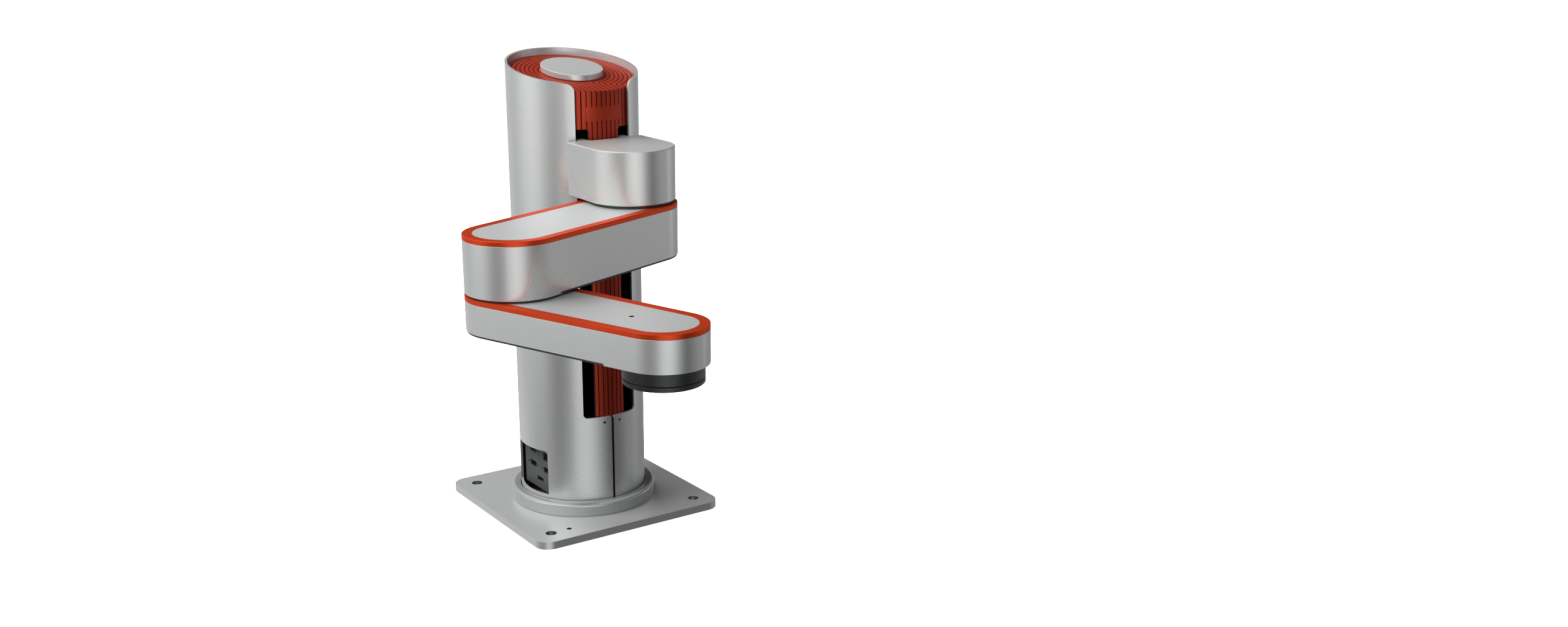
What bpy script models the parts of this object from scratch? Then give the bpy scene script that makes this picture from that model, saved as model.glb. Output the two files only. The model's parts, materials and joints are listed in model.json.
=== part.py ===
"""Small column-type SCARA robot, modelled piece by piece.

Lengths are in metres, Z is up, and the floor under the base plate is Z = 0.
The column stands on the Z axis and its slot faces +X. The arm is modelled in
a working pose: the carriage near the top, the upper arm swung to the right
and the forearm folded back.
"""
import math

import bmesh
import bpy
from mathutils import Matrix

MM = 0.001

# Clearances
SEAT = 0.3 * MM                 # between pieces that rest on each other
SHELL_CLEARANCE = 0.9 * MM      # shell to what it encloses
RING_CLEARANCE = 0.8 * MM       # base ring to shell
BLOCK_CLEARANCE = 2.8 * MM      # shoulder block to the column
SLOT_CLEARANCE = 0.8 * MM       # carriage arms to the sides of their slots
SHAFT_CLEARANCE = 0.4 * MM      # turning shafts in their bores

# Pose that the model is stored in
CARRIAGE_DROP = 60.7 * MM       # top of the shoulder block below the rim's middle
SHOULDER_ANGLE = math.radians(-68.7)
ELBOW_ANGLE = math.radians(87.1)

# Base plate
PLATE_SIDE = 200.0 * MM
PLATE_THICKNESS = 7.5 * MM
PLATE_CORNER = 14.0 * MM
PLATE_CHAMFER = 0.5 * MM
BOLT_SPACING = 160.0 * MM
BOLT_HOLE = 10.6 * MM
DOWEL_HOLE = 5.0 * MM
DOWEL_OFFSET = 19.4 * MM

# Base ring
RING_WIDTH = 9.5 * MM           # outside the shell
RING_HEIGHT = 13.5 * MM
RING_ROUNDING = 2.6 * MM
RING_LEDGE_WIDTH = 3.2 * MM
RING_LEDGE_DEPTH = 1.2 * MM

# Outer shell, a thin C-shaped tube with a slanted top
SHELL_RADIUS = 61.8 * MM
SHELL_WALL = 2.2 * MM
SHELL_HEIGHT = 431.7 * MM       # rim above the floor, on the column's axis
SLANT = math.radians(10.8)
SLOT_WIDTH = 56.2 * MM
SLOT_BOTTOM = 104.4 * MM
SLOT_CORNER = 4.0 * MM
SLOT_FLARE = 8.0 * MM
SEAM_WIDTH = 1.6 * MM
SEAM_CORNER = 2.0 * MM
SEAM_SCREW_HOLE = 2.8 * MM
SEAM_SCREW_SPACING = 16.5 * MM
SEAM_SCREW_DROP = 5.7 * MM
WINDOW_WIDTH = 58.0 * MM
WINDOW_BOTTOM = 24.5 * MM
WINDOW_HEIGHT = 44.0 * MM
WINDOW_CORNER = 3.0 * MM

# Inner column with its grooved front and grooved slanted top
COLUMN_WALL = 3.0 * MM
COLUMN_BOTTOM = 94.0 * MM
COLUMN_RECESS = 6.2 * MM        # top face below the shell's rim
COLUMN_LID = 4.0 * MM
COLUMN_EDGE = 0.5 * MM
GROOVE_COUNT = 7                # on each side of the middle
GROOVE_PITCH = 4.8 * MM
GROOVE_WIDTH = 0.9 * MM
GROOVE_DEPTH = 0.8 * MM
BARE_BAND_DROP = 44.3 * MM      # foot of the bare band below the rim's middle
BARE_BAND_HEIGHT = 12.6 * MM
BARE_BAND_GROOVES = 4           # the middle grooves that stop at the bare band
LOOP_FIRST_RADIUS = 31.5 * MM
LOOP_PITCH = 4.1 * MM
LOOP_WIDTH = 0.8 * MM
LOOP_BEND = 6.0 * MM
ARM_SLOT_INNER = 15.4 * MM      # from the middle to a slot's inner side
ARM_SLOT_OUTER = 30.0 * MM
ARM_SLOT_BOTTOM = 100.0 * MM
ARM_SLOT_DROP = 51.4 * MM       # top of the slots below the rim's middle
ARM_SLOT_CORNER = 3.0 * MM

# Top cap
CAP_RADIUS = 29.2 * MM
CAP_BELOW_RIM = 0.4 * MM
CAP_EDGE = 0.7 * MM

# Pedestal inside the foot of the shell
PEDESTAL_WALL = 4.1 * MM
PEDESTAL_LIP = 2.3 * MM
PEDESTAL_SILL = 16.0 * MM
PEDESTAL_HEADER = 80.0 * MM

# Connector panel and its sockets, in the panel's own X and Z
PANEL_SETBACK = 11.8 * MM       # inside the shell's outer side
PANEL_THICKNESS = 1.5 * MM
PANEL_CLEARANCE = 1.4 * MM      # panel's right edge to the shell
PANEL_GAP = 4.0 * MM            # dark gap that the panel's left edge leaves
PANEL_BOTTOM = 19.5 * MM
PANEL_TOP = 78.0 * MM
SIGNAL_WIDTH = 13.6 * MM
SIGNAL_HEIGHT = 6.2 * MM
SIGNAL_TAPER = 0.9 * MM
SIGNAL_SCREW_SPACING = 20.1 * MM
SIGNAL_SCREW_HOLE = 2.2 * MM
SIGNAL_PLACES = ((-10.3 * MM, 44.0 * MM), (17.4 * MM, 44.0 * MM), (-10.3 * MM, 59.5 * MM))
NETWORK_WIDTH = 12.3 * MM
NETWORK_HEIGHT = 4.8 * MM
NETWORK_PLACE = (3.5 * MM, 31.4 * MM)
POWER_WIDTH = 8.0 * MM
POWER_HEIGHT = 8.0 * MM
POWER_PLACE = (15.0 * MM, 57.5 * MM)
SOCKET_MARGIN = 1.0 * MM
SOCKET_DEPTH = 10.0 * MM
SOCKET_RECESS = 2.0 * MM
SOCKET_RIM = 1.1 * MM
SOCKET_CLEARANCE = 0.5 * MM     # sockets to the pocket behind the panel

# Lift drive inside the column
LIFT_AXIS_X = -10.0 * MM
LIFT_MOTOR_SIDE = 57.0 * MM
LIFT_MOTOR_LENGTH = 58.0 * MM
LIFT_MOTOR_CORNER = 5.0 * MM
LOWER_PLATE_THICKNESS = 9.4 * MM
UPPER_PLATE_DROP = 45.7 * MM    # underside of the upper plate below the rim's middle
UPPER_PLATE_THICKNESS = 7.0 * MM
SCREW_RADIUS = 6.0 * MM
JOURNAL_RADIUS = 4.0 * MM
COUPLING_RADIUS = 10.0 * MM
COUPLING_LENGTH = 18.0 * MM
COUPLING_STANDOFF = 4.0 * MM
ROD_RADIUS = 6.0 * MM
ROD_SPACING = 68.0 * MM
BUSH_WALL = 4.0 * MM
NUT_RADIUS = 13.0 * MM
NUT_FLANGE_RADIUS = 18.0 * MM
NUT_FLANGE_THICKNESS = 6.0 * MM
FRAME_HEIGHT = 42.0 * MM
FRAME_DROP = 4.0 * MM
FRAME_WIDTH = 92.0 * MM
FRAME_REAR = 14.0 * MM          # behind the screw's axis
FRAME_FRONT = 18.0 * MM         # in front of the screw's axis
FRAME_CORNER = 6.0 * MM

# Shoulder block on the carriage
SHOULDER_X = 105.0 * MM
BLOCK_RADIUS = 39.6 * MM
BLOCK_HEIGHT = 48.5 * MM
BLOCK_EDGE = 1.0 * MM
BLOCK_REAR_CORNER = 7.0 * MM
BLOCK_WALL = 5.6 * MM
BLOCK_ROOF = 6.0 * MM
TAB_REACH = 2.0 * MM            # past the column's inner face
SHOULDER_MOTOR_RADIUS = 27.0 * MM
SHOULDER_MOTOR_LENGTH = 20.0 * MM
SHOULDER_GAP = 2.2 * MM         # shoulder block to upper arm
SHOULDER_RING_INSET = 2.2 * MM
HUB_BOSS_RADIUS = 9.7 * MM
HUB_BOSS_LENGTH = 11.0 * MM

# Links
LINK_RADIUS = 41.3 * MM
LINK_WALL = 3.5 * MM
LINK_FLOOR = 4.0 * MM
LINK_WEB = 3.0 * MM
TRIM_WIDTH = 8.6 * MM
TRIM_HEIGHT = 4.0 * MM
TRIM_EDGE = 1.0 * MM
TOP_PLATE_RECESS = 0.2 * MM
COVER_THICKNESS = 1.6 * MM
COVER_INSET = 0.8 * MM
UPPER_ARM_LENGTH = 160.0 * MM
UPPER_ARM_HEIGHT = 49.2 * MM
UPPER_ARM_OPENING = 104.0 * MM
ELBOW_BOSS_RADIUS = 42.2 * MM
ELBOW_MOTOR_RADIUS = 24.0 * MM
ELBOW_MOTOR_LENGTH = 19.0 * MM
ELBOW_REDUCER_RADIUS = 32.7 * MM
ELBOW_GAP = 1.8 * MM            # upper arm to forearm
ELBOW_RING_INSET = 2.0 * MM

FOREARM_LENGTH = 160.0 * MM
FOREARM_HEIGHT = 31.5 * MM
FOREARM_TIP_RADIUS = 36.8 * MM
FOREARM_COVER_SETBACK = 29.0 * MM    # tool axis to the end of the bottom cover
FOREARM_OPENING = 100.0 * MM
FOREARM_OPENING_RADIUS = 28.0 * MM
FOREARM_HOLE_X = 128.0 * MM
FOREARM_HOLE = 4.2 * MM

# Tool axis and its belt drive
ROLL_MOTOR_X = 80.0 * MM
ROLL_MOTOR_SIDE = 35.0 * MM
ROLL_MOTOR_LENGTH = 12.0 * MM
TOOL_PULLEY_RADIUS = 15.7 * MM
ROLL_RATIO = 2.0                # turns of the motor's pulley to one of the tool's
PULLEY_WIDTH = 8.2 * MM
BELT_WIDTH = 6.0 * MM
BELT_THICKNESS = 1.4 * MM
TOOL_SHAFT_RADIUS = 8.0 * MM
BEARING_RADIUS = 14.0 * MM
FLANGE_RADIUS = 32.85 * MM
COLLAR_HEIGHT = 10.9 * MM
FLANGE_HEIGHT = 4.1 * MM
FLANGE_GROOVE = 0.4 * MM
FLANGE_PILOT_RADIUS = 12.5 * MM
FLANGE_PILOT_DEPTH = 1.5 * MM
FLANGE_BOLT_CIRCLE = 25.0 * MM
FLANGE_BOLT_HOLE = 4.3 * MM

# Facets in a full circle
LARGE_ROUND = 64
SMALL_ROUND = 24
FULL_TURN = 360.0               # degrees

# Worked-out sizes
SLOPE = -math.tan(SLANT)
SHELL_BORE = SHELL_RADIUS - SHELL_WALL
COLUMN_RADIUS = SHELL_BORE - SHELL_CLEARANCE
COLUMN_BORE = COLUMN_RADIUS - COLUMN_WALL
COLUMN_TOP = SHELL_HEIGHT - COLUMN_RECESS
CARRIAGE_HEIGHT = SHELL_HEIGHT - CARRIAGE_DROP
BARE_BAND_BOTTOM = SHELL_HEIGHT - BARE_BAND_DROP
ARM_SLOT_TOP = SHELL_HEIGHT - ARM_SLOT_DROP
UPPER_PLATE_BOTTOM = SHELL_HEIGHT - UPPER_PLATE_DROP
RING_RADIUS = SHELL_RADIUS + RING_WIDTH
FOREARM_COVER_END = FOREARM_LENGTH - FOREARM_COVER_SETBACK
RING_TOP = PLATE_THICKNESS + RING_HEIGHT
FLOOR_SEAT = PLATE_THICKNESS + SEAT
PEDESTAL_TOP = COLUMN_BOTTOM - SEAT
PEDESTAL_BORE = COLUMN_RADIUS - PEDESTAL_WALL
LOWER_PLATE_BOTTOM = PEDESTAL_TOP - LOWER_PLATE_THICKNESS
PANEL_FACE = SHELL_RADIUS - PANEL_SETBACK
PANEL_REAR = PANEL_FACE - PANEL_THICKNESS
PANEL_RIGHT = math.sqrt(SHELL_BORE ** 2 - PANEL_FACE ** 2) - PANEL_CLEARANCE
PANEL_LEFT = PANEL_GAP - PANEL_RIGHT
TRIM_SEAT = TRIM_HEIGHT + SEAT
LINK_ROOF = TRIM_SEAT + LINK_WEB
TAB_INNER = ARM_SLOT_INNER + SLOT_CLEARANCE
TAB_OUTER = SLOT_WIDTH / 2 - 2 * SLOT_CLEARANCE
TAB_END = math.sqrt(COLUMN_BORE ** 2 - TAB_OUTER ** 2) - TAB_REACH
BELT_PLANE = -LINK_ROOF - SEAT - PULLEY_WIDTH
BELT_PITCH = SEAT + BELT_THICKNESS / 2
ROLL_PULLEY_RADIUS = (TOOL_PULLEY_RADIUS + BELT_PITCH) / ROLL_RATIO - BELT_PITCH


def start_collection(name):
    """A fresh collection in the scene."""
    collection = bpy.data.collections.new(name)
    bpy.context.scene.collection.children.link(collection)
    return collection


for leftover in list(bpy.data.objects):
    bpy.data.objects.remove(leftover)
ROBOT = start_collection("scara_robot")
CUTTERS = start_collection("cutters")


# Materials
def finish(name, colour, roughness, metallic):
    """A plain material for one kind of surface."""
    material = bpy.data.materials.new(name)
    material.use_nodes = True
    shader = material.node_tree.nodes["Principled BSDF"]
    shader.inputs["Base Color"].default_value = (*colour, 1.0)
    shader.inputs["Roughness"].default_value = roughness
    shader.inputs["Metallic"].default_value = metallic
    material.diffuse_color = (*colour, 1.0)
    return material


FINISHES = {
    "silver": ((0.49, 0.50, 0.50), 0.35, 0.85),
    "pale": ((0.62, 0.63, 0.63), 0.35, 0.80),
    "orange": ((0.60, 0.05, 0.015), 0.35, 0.20),
    "panel": ((0.11, 0.12, 0.12), 0.50, 0.40),
    "black": ((0.02, 0.02, 0.02), 0.60, 0.00),
    "flange": ((0.03, 0.03, 0.03), 0.75, 0.30),
    "steel": ((0.45, 0.45, 0.46), 0.25, 1.00),
    "aluminium": ((0.60, 0.60, 0.60), 0.40, 0.90),
    "brass": ((0.60, 0.42, 0.15), 0.30, 1.00),
    "rubber": ((0.02, 0.02, 0.02), 0.85, 0.00),
}


# Outlines
def arc(centre, radius, start, end, steps):
    """Points of an arc, both ends included, with angles in degrees."""
    points = []
    for step in range(steps + 1):
        angle = math.radians(start + (end - start) * step / steps)
        points.append((centre[0] + radius * math.cos(angle), centre[1] + radius * math.sin(angle)))
    return points


def circle(centre, radius, steps=SMALL_ROUND):
    """Points of a full circle."""
    return arc(centre, radius, 0, FULL_TURN * (steps - 1) / steps, steps - 1)


def rounded(corners, steps=4):
    """An outline from its corners (x, y, radius), each rounded by its radius."""
    points = []
    count = len(corners)
    for index, (x, y, radius) in enumerate(corners):
        if radius <= 0:
            points.append((x, y))
            continue
        before = corners[index - 1]
        after = corners[(index + 1) % count]
        into = math.atan2(before[1] - y, before[0] - x)
        out = math.atan2(after[1] - y, after[0] - x)
        opening = (out - into + math.pi) % (2 * math.pi) - math.pi
        reach = radius / math.tan(abs(opening) / 2)
        middle = into + opening / 2
        away = math.hypot(radius, reach)
        centre = (x + away * math.cos(middle), y + away * math.sin(middle))
        first = (x + reach * math.cos(into), y + reach * math.sin(into))
        last = (x + reach * math.cos(out), y + reach * math.sin(out))
        start = math.atan2(first[1] - centre[1], first[0] - centre[0])
        end = math.atan2(last[1] - centre[1], last[0] - centre[0])
        sweep = (end - start + math.pi) % (2 * math.pi) - math.pi
        points += arc(centre, radius, math.degrees(start), math.degrees(start + sweep), steps)
    return points


def rounded_box(width, depth, radius, centre=(0, 0)):
    """Outline of a rectangle with rounded corners."""
    x, y = centre
    half_w, half_d = width / 2, depth / 2
    signs = ((-1, -1), (1, -1), (1, 1), (-1, 1))
    return rounded([(x + sx * half_w, y + sy * half_d, radius) for sx, sy in signs])


def link_outline(length, root_radius, tip_radius, steps=20):
    """Two round ends joined by their common tangents, the root at the origin."""
    lean = math.degrees(math.asin((root_radius - tip_radius) / length))
    root = arc((0, 0), root_radius, 90 - lean, 270 + lean, steps)
    tip = arc((length, 0), tip_radius, lean - 90, 90 - lean, steps)
    return root + tip


# Solids
def place(name, bm, colour=None, collection=ROBOT):
    """Turn a bmesh into a named object."""
    bmesh.ops.recalc_face_normals(bm, faces=bm.faces)
    mesh = bpy.data.meshes.new(name)
    bm.to_mesh(mesh)
    bm.free()
    mesh.shade_smooth()
    mesh.set_sharp_from_angle(angle=math.radians(30))
    shape = bpy.data.objects.new(name, mesh)
    collection.objects.link(shape)
    if colour:
        mesh.materials.append(finish(name, *FINISHES[colour]))
    return shape


def evaluated_mesh(shape):
    """The mesh that an object has after its modifiers."""
    bpy.context.view_layer.update()
    depsgraph = bpy.context.evaluated_depsgraph_get()
    return bpy.data.meshes.new_from_object(shape.evaluated_get(depsgraph))


def bevel_rim(bm, height, width, segments=2):
    """Round the edges of the flat face at one height."""
    rim = []
    for edge in bm.edges:
        level = all(abs(vert.co.z - height) < 1e-6 for vert in edge.verts)
        if level and len(edge.link_faces) == 2 and edge.calc_face_angle(0) > math.radians(60):
            rim.append(edge)
    bmesh.ops.bevel(bm, geom=rim, offset=width, segments=segments, profile=0.5, affect="EDGES")


TURNS = {
    "Z": Matrix.Identity(4),
    "X": Matrix(((0, 0, 1, 0), (1, 0, 0, 0), (0, 1, 0, 0), (0, 0, 0, 1))),
    "-Y": Matrix.Rotation(math.radians(90), 4, "X"),
}


def flat_solid(name, outlines, low, high, colour=None, edge=0.0, along="Z", edge_segments=2):
    """A flat outline, with holes, filled and made thick from low to high along an axis."""
    curve = bpy.data.curves.new(name, "CURVE")
    curve.dimensions = "2D"
    curve.fill_mode = "BOTH"
    curve.extrude = (high - low) / 2
    for points in outlines:
        spline = curve.splines.new("POLY")
        spline.points.add(len(points) - 1)
        for point, (x, y) in zip(spline.points, points):
            point.co = (x, y, 0, 1)
        spline.use_cyclic_u = True
    drawing = bpy.data.objects.new(name + "_outline", curve)
    CUTTERS.objects.link(drawing)
    bm = bmesh.new()
    bm.from_mesh(evaluated_mesh(drawing))
    bpy.data.objects.remove(drawing)
    bmesh.ops.remove_doubles(bm, verts=bm.verts, dist=1e-6)
    bmesh.ops.dissolve_limit(bm, angle_limit=math.radians(0.5), verts=bm.verts, edges=bm.edges)
    bmesh.ops.translate(bm, verts=bm.verts, vec=(0, 0, (low + high) / 2))
    if edge > 0:
        bevel_rim(bm, high, edge, edge_segments)
    bmesh.ops.transform(bm, verts=bm.verts, matrix=TURNS[along])
    return place(name, bm, colour, ROBOT if colour else CUTTERS)


def drum(name, radius, low, high, colour=None, centre=(0, 0), slope=(0, 0), edge=0.0, steps=LARGE_ROUND):
    """A cylinder whose bottom and top faces may slant along X."""
    bm = bmesh.new()
    height = high - low
    bmesh.ops.create_cone(bm, cap_ends=True, segments=steps, radius1=radius, radius2=radius, depth=height)
    if edge > 0:
        bevel_rim(bm, height / 2, edge)
    for vert in bm.verts:
        lean = slope[1] if vert.co.z > 0 else slope[0]
        vert.co.z += (low + high) / 2 + lean * vert.co.x
    bmesh.ops.translate(bm, verts=bm.verts, vec=(centre[0], centre[1], 0))
    return place(name, bm, colour, ROBOT if colour else CUTTERS)


def turned(name, profile, colour=None, centre=(0, 0), steps=SMALL_ROUND):
    """A profile of (radius, height) turned round the vertical, its outer side first, downwards."""
    mesh = bpy.data.meshes.new(name)
    count = len(profile)
    on_axis = profile[0][0] == 0
    edges = [(index, (index + 1) % count) for index in range(count - 1 if on_axis else count)]
    mesh.from_pydata([(radius, 0, height) for radius, height in profile], edges, [])
    line = bpy.data.objects.new(name + "_profile", mesh)
    CUTTERS.objects.link(line)
    screw = line.modifiers.new("Turn", "SCREW")
    screw.steps = steps
    screw.render_steps = steps
    screw.use_merge_vertices = True
    screw.merge_threshold = 0.00001
    bm = bmesh.new()
    bm.from_mesh(evaluated_mesh(line))
    bpy.data.objects.remove(line)
    bmesh.ops.translate(bm, verts=bm.verts, vec=(centre[0], centre[1], 0))
    return place(name, bm, colour, ROBOT if colour else CUTTERS)


def carve(shape, *cutters):
    """Cut each cutter out of a shape and drop the cutter."""
    for cutter in cutters:
        cutter.hide_render = True
        cutter.display_type = "WIRE"
        boolean = shape.modifiers.new("Cut", "BOOLEAN")
        boolean.operation = "DIFFERENCE"
        boolean.solver = "EXACT"
        boolean.object = cutter
        mesh = evaluated_mesh(shape)
        shape.modifiers.clear()
        shape.data = mesh
        bpy.data.objects.remove(cutter)
    shape.data.shade_smooth()
    shape.data.set_sharp_from_angle(angle=math.radians(30))
    return shape


def axis_empty(name, location, parent=None, angle=0.0):
    """An empty on a joint's axis, which carries the pieces of one moving body."""
    empty = bpy.data.objects.new(name, None)
    empty.empty_display_size = 0.03
    empty.location = location
    empty.rotation_euler = (0, 0, angle)
    empty.parent = parent
    ROBOT.objects.link(empty)
    return empty


def carry(parent, *pieces):
    """Hang pieces, modelled in the axis's own frame, on it."""
    for piece in pieces:
        piece.parent = parent


# Base
def build_base_plate():
    """Square plate with four bolt holes and two dowel holes."""
    half = BOLT_SPACING / 2
    holes = [circle((sx * half, sy * half), BOLT_HOLE / 2, 20) for sx in (-1, 1) for sy in (-1, 1)]
    for side in (-1, 1):
        holes.append(circle((side * half, side * (DOWEL_OFFSET - half)), DOWEL_HOLE / 2, 12))
    outline = rounded_box(PLATE_SIDE, PLATE_SIDE, PLATE_CORNER)
    flat_solid("base_plate", [outline, *holes], 0, PLATE_THICKNESS, "silver", PLATE_CHAMFER,
               edge_segments=1)


def build_base_ring():
    """Collar round the shell's foot, with a rounded rim and a sunk inner ledge."""
    bore = SHELL_RADIUS + RING_CLEARANCE
    shoulder = RING_RADIUS - RING_ROUNDING
    rim = arc((shoulder, RING_TOP - RING_ROUNDING), RING_ROUNDING, 90, 0, 3)
    ledge = RING_TOP - RING_LEDGE_DEPTH
    profile = rim + [(RING_RADIUS, FLOOR_SEAT), (bore, FLOOR_SEAT), (bore, ledge),
                     (bore + RING_LEDGE_WIDTH, ledge), (bore + RING_LEDGE_WIDTH, RING_TOP)]
    turned("base_ring", profile, "silver", steps=LARGE_ROUND)


def slot_outline():
    """The shell's front opening in Y and Z: seam, rounded slot and flared mouth."""
    half = SLOT_WIDTH / 2
    seam = SEAM_WIDTH / 2
    edge_x = math.sqrt(SHELL_RADIUS ** 2 - (half + SLOT_FLARE) ** 2)
    mouth = SHELL_HEIGHT + SLOPE * edge_x
    above = SHELL_HEIGHT + SHELL_RADIUS
    side = [(seam, 0, 0), (seam, SLOT_BOTTOM, SEAM_CORNER), (half, SLOT_BOTTOM, SLOT_CORNER),
            (half, mouth, SLOT_FLARE), (half + SLOT_FLARE, mouth, 0), (half + SLOT_FLARE, above, 0)]
    mirrored = [(-y, z, radius) for y, z, radius in reversed(side)]
    return rounded(side + mirrored)


def build_outer_shell():
    """Thin tube, cut slanting at the top, slotted in front and open at the connectors."""
    shell = drum("outer_shell", SHELL_RADIUS, FLOOR_SEAT, SHELL_HEIGHT, "silver", slope=(0, SLOPE))
    bore = drum("bore", SHELL_BORE, 0, SHELL_HEIGHT + SHELL_RADIUS)
    slot = flat_solid("slot", [slot_outline()], 0, 2 * SHELL_RADIUS, along="X")
    window_z = WINDOW_BOTTOM + WINDOW_HEIGHT / 2
    window_outline = rounded_box(WINDOW_WIDTH, WINDOW_HEIGHT, WINDOW_CORNER, (0, window_z))
    window = flat_solid("window", [window_outline], 0, 2 * SHELL_RADIUS, along="-Y")
    carve(shell, bore, slot, window)
    for side in (-1, 1):
        place_yz = (side * SEAM_SCREW_SPACING / 2, SLOT_BOTTOM - SEAM_SCREW_DROP)
        hole = circle(place_yz, SEAM_SCREW_HOLE / 2, 12)
        carve(shell, flat_solid("screw_hole", [hole], 0, 2 * SHELL_RADIUS, along="X"))


def groove_offset(index):
    """Distance of a front groove from the middle."""
    return (index + 0.5) * GROOVE_PITCH


def front_grooves():
    """Upright strips that cut the grooves of the column's front."""
    bm = bmesh.new()
    top = SHELL_HEIGHT
    band_top = BARE_BAND_BOTTOM + BARE_BAND_HEIGHT
    for index in range(GROOVE_COUNT):
        spans = [(COLUMN_BOTTOM - COLUMN_WALL, top)]
        if index < BARE_BAND_GROOVES:
            spans = [(COLUMN_BOTTOM - COLUMN_WALL, BARE_BAND_BOTTOM), (band_top, top)]
        inside = groove_offset(index) < ARM_SLOT_INNER
        for low, high in spans:
            if not inside and low < ARM_SLOT_TOP:
                low = ARM_SLOT_TOP - GROOVE_WIDTH
            for side in (-1, 1):
                y = side * groove_offset(index)
                depth_x = math.sqrt(COLUMN_RADIUS ** 2 - y ** 2) - GROOVE_DEPTH
                size = (COLUMN_RADIUS, GROOVE_WIDTH, high - low)
                centre = (depth_x + size[0] / 2, y, (low + high) / 2)
                where = Matrix.Translation(centre) @ Matrix.Diagonal((*size, 1))
                bmesh.ops.create_cube(bm, size=1, matrix=where)
    return place("front_grooves", bm, None, CUTTERS)


def loop_side(radius, offset, bend):
    """One side of a top groove: from the front edge, round behind the cap and back."""
    reach = radius + bend
    centre = (math.sqrt(reach ** 2 - (offset + bend) ** 2), offset + bend)
    turn = math.degrees(math.atan2(centre[1], centre[0]))
    front = COLUMN_RADIUS + GROOVE_PITCH
    half = [(front, offset)] + arc(centre, bend, -90, turn - 180, 4)
    back = arc((0, 0), radius, turn, FULL_TURN - turn, 28)[1:-1]
    return half + back + [(x, -y) for x, y in reversed(half)]


def carve_top_grooves(column):
    """Cut the grooves that run from the front edge round behind the cap."""
    for index in range(GROOVE_COUNT):
        radius = LOOP_FIRST_RADIUS + index * LOOP_PITCH
        offset = groove_offset(index)
        side = LOOP_WIDTH / 2
        outer = loop_side(radius + side, offset + side, LOOP_BEND - side)
        inner = loop_side(radius - side, offset - side, LOOP_BEND + side)
        ribbon = flat_solid("loop", [outer + inner[::-1]], COLUMN_TOP - GROOVE_DEPTH, COLUMN_TOP + COLUMN_RECESS)
        for vert in ribbon.data.vertices:
            vert.co.z += SLOPE * vert.co.x
        carve(column, ribbon)


def build_inner_column():
    """Hollow column with a slanted, grooved lid and two slots for the carriage's arms."""
    column = drum("inner_column", COLUMN_RADIUS, COLUMN_BOTTOM, COLUMN_TOP, "orange", slope=(0, SLOPE),
                  edge=COLUMN_EDGE)
    below = COLUMN_BOTTOM - COLUMN_WALL
    carve(column, drum("void", COLUMN_BORE, below, COLUMN_TOP - COLUMN_LID, slope=(0, SLOPE)))
    carve(column, front_grooves())
    carve_top_grooves(column)
    width = ARM_SLOT_OUTER - ARM_SLOT_INNER
    height = ARM_SLOT_TOP - ARM_SLOT_BOTTOM
    for side in (-1, 1):
        centre = (side * (ARM_SLOT_INNER + ARM_SLOT_OUTER) / 2, (ARM_SLOT_TOP + ARM_SLOT_BOTTOM) / 2)
        outline = rounded_box(width, height, ARM_SLOT_CORNER, centre)
        carve(column, flat_solid("arm_slot", [outline], 0, 2 * COLUMN_RADIUS, along="X"))


def build_top_cap():
    """Low disc on the lid, its top parallel to the slanted rim."""
    drum("top_cap", CAP_RADIUS, COLUMN_TOP + SEAT, SHELL_HEIGHT - CAP_BELOW_RIM, "pale",
         slope=(SLOPE, SLOPE), edge=CAP_EDGE, steps=48)


def build_pedestal():
    """Turned foot that carries the column and holds the connector panel in its window."""
    lip = COLUMN_RADIUS - PEDESTAL_LIP
    ledge = LOWER_PLATE_BOTTOM - SEAT
    profile = [(COLUMN_RADIUS, PEDESTAL_TOP), (COLUMN_RADIUS, FLOOR_SEAT), (PEDESTAL_BORE, FLOOR_SEAT),
               (PEDESTAL_BORE, ledge), (lip, ledge), (lip, PEDESTAL_TOP)]
    pedestal = turned("pedestal", profile, "black", steps=LARGE_ROUND)
    window_z = (PEDESTAL_SILL + PEDESTAL_HEADER) / 2
    outline = rounded_box(2 * COLUMN_RADIUS, PEDESTAL_HEADER - PEDESTAL_SILL, 0, (0, window_z))
    carve(pedestal, flat_solid("window", [outline], PANEL_REAR - SEAT, 2 * COLUMN_RADIUS, along="-Y"))
    carve(pedestal, socket_pocket())


def signal_outline(place_xz, grow=0.0):
    """D-shaped outline of a signal socket."""
    x, z = place_xz
    half_w = SIGNAL_WIDTH / 2 + grow
    half_h = SIGNAL_HEIGHT / 2 + grow
    corner = 1.0 * MM
    return rounded([(x - half_w + SIGNAL_TAPER, z - half_h, corner), (x + half_w - SIGNAL_TAPER, z - half_h, corner),
                    (x + half_w, z + half_h, corner), (x - half_w, z + half_h, corner)], 2)


def socket_pocket():
    """Cutter for the room that the sockets take behind the panel."""
    reach_x = SIGNAL_WIDTH / 2 + SOCKET_MARGIN + SOCKET_CLEARANCE
    reach_z = SIGNAL_HEIGHT / 2 + SOCKET_MARGIN + SOCKET_CLEARANCE
    low_x = min(x for x, z in SIGNAL_PLACES) - reach_x
    high_x = max(x for x, z in SIGNAL_PLACES) + reach_x
    low_z = NETWORK_PLACE[1] - reach_z
    high_z = max(z for x, z in SIGNAL_PLACES) + reach_z
    middle = ((low_x + high_x) / 2, (low_z + high_z) / 2)
    outline = rounded_box(high_x - low_x, high_z - low_z, 0, middle)
    rear = PANEL_REAR - SEAT - SOCKET_DEPTH - SOCKET_CLEARANCE
    return flat_solid("socket_pocket", [outline], rear, PANEL_FACE, along="-Y")


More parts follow.
